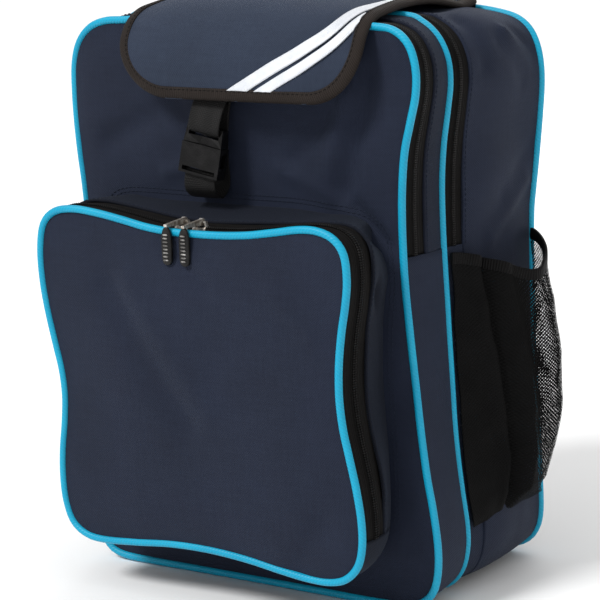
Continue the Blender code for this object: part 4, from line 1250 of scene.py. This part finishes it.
def puffed(piece, pressure, reach):
    """Fills a piece like foam in its cover: cloth simulation, with no place moving further than reach."""
    remesh = piece.modifiers.new("remesh", "REMESH")
    remesh.mode = "VOXEL"
    remesh.voxel_size = VOXEL
    applied(piece)
    before = np.array([vertex.co for vertex in piece.data.vertices])
    cloth = piece.modifiers.new("cloth", "CLOTH")
    cloth.settings.use_pressure = True
    cloth.settings.uniform_pressure_force = pressure
    cloth.settings.effector_weights.gravity = 0
    for frame_number in range(1, CLOTH_FRAMES + 1):
        bpy.context.scene.frame_set(frame_number)
    applied(piece)
    after = np.array([vertex.co for vertex in piece.data.vertices])
    moved = after - before
    far = np.maximum(np.linalg.norm(moved, axis=1, keepdims=True), 1e-9)
    capped = before + moved * np.minimum(1, reach / far)
    piece.data.vertices.foreach_set("co", capped.astype(np.float32).ravel())
    bpy.context.scene.frame_set(1)
    smoother = piece.modifiers.new("finer", "SUBSURF")
    smoother.levels = smoother.render_levels = 1
    applied(piece)
    piece.data.shade_smooth()


def applied(piece):
    """Bakes a piece's modifiers into its mesh."""
    graph = bpy.context.evaluated_depsgraph_get()
    mesh = bpy.data.meshes.new_from_object(piece.evaluated_get(graph))
    piece.modifiers.clear()
    piece.data = mesh


def mirrored(places, side):
    places = np.array(places, float)
    places[..., 0] *= side
    return places


def make_back_panel():
    """The panel against the wearer, padded out from its seam, and the two knitted pads on it."""
    inset = rear_ring - outward_of(rear_ring) * 0.0035
    inset[:, 1] = REAR_Y + BACK_SEAM_PROUD
    grid = crowned(inset, 120, 100, BACK_CROWN, 24, 0.0005, 2.9, way=1.0)
    border = slab("back_panel_cloth", grid, CLOTH, CANVAS)
    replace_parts(border, "back_panel")
    for name, side in (("left", -1), ("right", 1)):
        make_back_pad(name, side)


def make_back_pad(name, side):
    """One of the two knitted pads, with quilted grooves across it."""
    rows, columns = 60, 24
    level = np.linspace(0, 1, rows)[:, None]
    share = np.linspace(0, 1, columns)[None]
    z = BACK_PAD_FOOT_Z + (BACK_PAD_TOP_Z - BACK_PAD_FOOT_Z) * level
    half = BACK_PAD_HALF_WIDTH - 0.006 * np.sin(math.pi * level)
    x = side * (BACK_PAD_CHANNEL + (half - BACK_PAD_CHANNEL) * share)
    edge = (1 - np.abs(2 * level - 1) ** 12) * (1 - np.abs(2 * share - 1) ** 8)
    grooves = np.minimum(np.abs(np.sin(level * math.pi * 5)) * 2.2, 1)
    y = PAD_Y + 0.0045 * edge * (0.45 + 0.55 * grooves)
    grid = np.stack(np.broadcast_arrays(x, y, z), -1)
    pad = slab(f"back_pad_{name}", grid, 0.0060, SPACER)
    puffed(pad, 3.0, 0.0025)


def make_shoulder_straps():
    for name, side in (("left", -1), ("right", 1)):
        line = mirrored(spline(STRAP_LINE, 60), side)
        widths = np.interp(np.linspace(0, 1, 60), np.linspace(0, 1, len(STRAP_WIDTHS)), STRAP_WIDTHS)
        _, wide, over = frames_along(line, ACROSS_THE_BAG)
        profile = oval(1.0, 1.0, 0.55, 28)
        rings = (line[:, None] + wide[:, None] * profile[None, :, :1] * widths[:, None, None]
                 + over[:, None] * profile[None, :, 1:] * STRAP_PAD_THICKNESS)
        pad = loft(f"shoulder_pad_{name}", rings, PAD_CLOTH)
        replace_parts(pad, f"shoulder_strap_{name}")
        puffed(pad, 4.0, 0.0018)
        for edge, way in (("inner", -1), ("outer", 1)):
            place = line + wide * (way * widths / 2)[:, None]
            binding = sweep(f"strap_binding_{edge}_{name}", place, ACROSS_THE_BAG,
                            oval(0.0034, 0.0078, 0.6, 14), EDGE_TAPE)


def make_strap_hardware():
    for name, side in (("left", -1), ("right", 1)):
        rounded(f"strap_adjuster_{name}", 0.0008, PLASTIC, 3)
        upper = mirrored(spline(UPPER_WEBBING_LINE, 24), side)
        webbing(f"strap_end_webbing_{name}", upper, ACROSS_THE_BAG)
        lower = mirrored(spline(LOWER_WEBBING_LINE, 50), side)
        strap = webbing(f"strap_webbing_cloth_{name}", lower, ACROSS_THE_BAG)
        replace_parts(strap, f"strap_webbing_{name}")
        make_wing(name, side)


def make_wing(name, side):
    """The sewn tab that anchors a strap's webbing at the foot of the bag."""
    corners = mirrored([(x, WING_Y, z) for x, z in WING_CORNERS], side)
    top, outer, inner, notch = corners
    rows, columns = 12, 12
    v = np.linspace(0, 1, rows)[:, None, None]
    u = np.linspace(0, 1, columns)[None, :, None]
    seam = top * (1 - v) + outer * v
    point = notch * (1 - v) + inner * v
    grid = seam * (1 - u) + point * u
    grid[..., 1:2] += 0.0008 * np.sin(math.pi * u) * np.sin(math.pi * v)
    # The tab takes the darker canvas: painted shade.
    tab = slab(f"wing_cloth_{name}", grid, 0.0024, CANVAS_PAINTED_HALF_SHADE)
    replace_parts(tab, f"strap_wing_{name}")
    ring = np.concatenate([grid[1, 1:-1], grid[1:-1, -2], grid[-2, -2:0:-1], grid[-2:0:-1, 1]])
    ring[:, 1] += 0.0003
    ups = np.broadcast_to(OUT_OF_THE_BACK, ring.shape)
    stitch_run(f"wing_stitches_{name}", ring, ups, NAVY_STITCH)


def make_haul_loop():
    """The webbing loop to hang the bag by, folded flat against the back."""
    turns = np.linspace(0, math.pi, 30)
    _, y, z = HAUL_HINGE
    arch = [(HAUL_RADIUS * math.cos(turn), y, z - HAUL_DROP - HAUL_RADIUS * math.sin(turn)) for turn in turns]
    line = np.array([(HAUL_RADIUS, y, z)] + arch + [(-HAUL_RADIUS, y, z)])
    line = spline(line, 70)
    loop = webbing("haul_loop_webbing", line, OUT_OF_THE_BACK, WEBBING, "grab_handle", 0.0022, 0.0160)
    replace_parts(loop, "haul_loop")


def make_board():
    rounded("base_board", 0.0006, BOARD, 2)


def make_back():
    make_back_panel()
    make_shoulder_straps()
    make_strap_hardware()
    make_haul_loop()
    make_board()


def make_camera():
    cam = bpy.data.cameras.new("camera")
    cam.lens = CAMERA_LENS
    cam.sensor_width = 36.0
    cam.clip_start, cam.clip_end = 0.05, 100.0
    camera = bpy.data.objects.new("camera", cam)
    bpy.context.scene.collection.objects.link(camera)
    level = math.cos(CAMERA_ELEVATION)
    back = Vector((math.sin(CAMERA_AZIMUTH) * level, -math.cos(CAMERA_AZIMUTH) * level,
                   math.sin(CAMERA_ELEVATION)))
    right = Vector((math.cos(CAMERA_AZIMUTH), math.sin(CAMERA_AZIMUTH), 0))
    up = back.cross(right)
    rolled_right = right * math.cos(CAMERA_ROLL) + up * math.sin(CAMERA_ROLL)
    rolled_up = back.cross(rolled_right)
    turn = Matrix((rolled_right, rolled_up, back)).transposed()
    camera.matrix_world = Matrix.Translation(CAMERA_TARGET + back * CAMERA_DISTANCE) @ turn.to_4x4()
    bpy.context.scene.camera = camera


def add_light(name, place, target, kind, size, power):
    """An area lamp of this size in metres, or a sun this many radians wide."""
    light = bpy.data.lights.new(name, kind)
    light.energy = power
    if kind == "SUN":
        light.angle = size
    else:
        light.shape = "DISK"
        light.size = size
    lamp = bpy.data.objects.new(name, light)
    lamp.location = place
    lamp.rotation_euler = (Vector(target) - Vector(place)).to_track_quat("-Z", "Y").to_euler()
    bpy.context.scene.collection.objects.link(lamp)


def make_studio():
    """A plain pale floor under soft lights: the main one in front, to the left and above."""
    rim = [(12 * math.cos(TURN * k / 96), 12 * math.sin(TURN * k / 96), 0.0) for k in range(96)]
    mesh = bpy.data.meshes.new("studio_floor")
    mesh.from_pydata(rim, [], [list(range(96))])
    mesh.materials.append(studio_floor())
    floor = bpy.data.objects.new("studio_floor", mesh)
    bpy.context.scene.collection.objects.link(floor)
    middle = (0, 0, 0.2)
    add_light("key", (-0.9, -2.1, 2.5), middle, "SUN", 0.28, 2.25)
    add_light("fill", (2.4, -1.8, 1.2), middle, "AREA", 2.0, 5)
    add_light("top", (0.2, 0.5, 2.8), middle, "AREA", 2.0, 15)
    add_light("rear", (-0.8, 2.6, 1.6), middle, "AREA", 2.0, 10)
    world = bpy.data.worlds.new("studio")
    world.use_nodes = True
    background = world.node_tree.nodes["Background"]
    background.inputs["Color"].default_value = (1.0, 1.0, 1.0, 1.0)
    background.inputs["Strength"].default_value = 0.62
    bpy.context.scene.world = world
    bpy.context.scene.view_settings.view_transform = "Standard"


def main():
    panel = make_front()
    make_compartments()
    make_base()
    make_pocket(panel)
    make_flap()
    make_buckle(panel)
    make_pulls()
    make_side_pockets()
    make_back()
    make_camera()
    make_studio()


main()
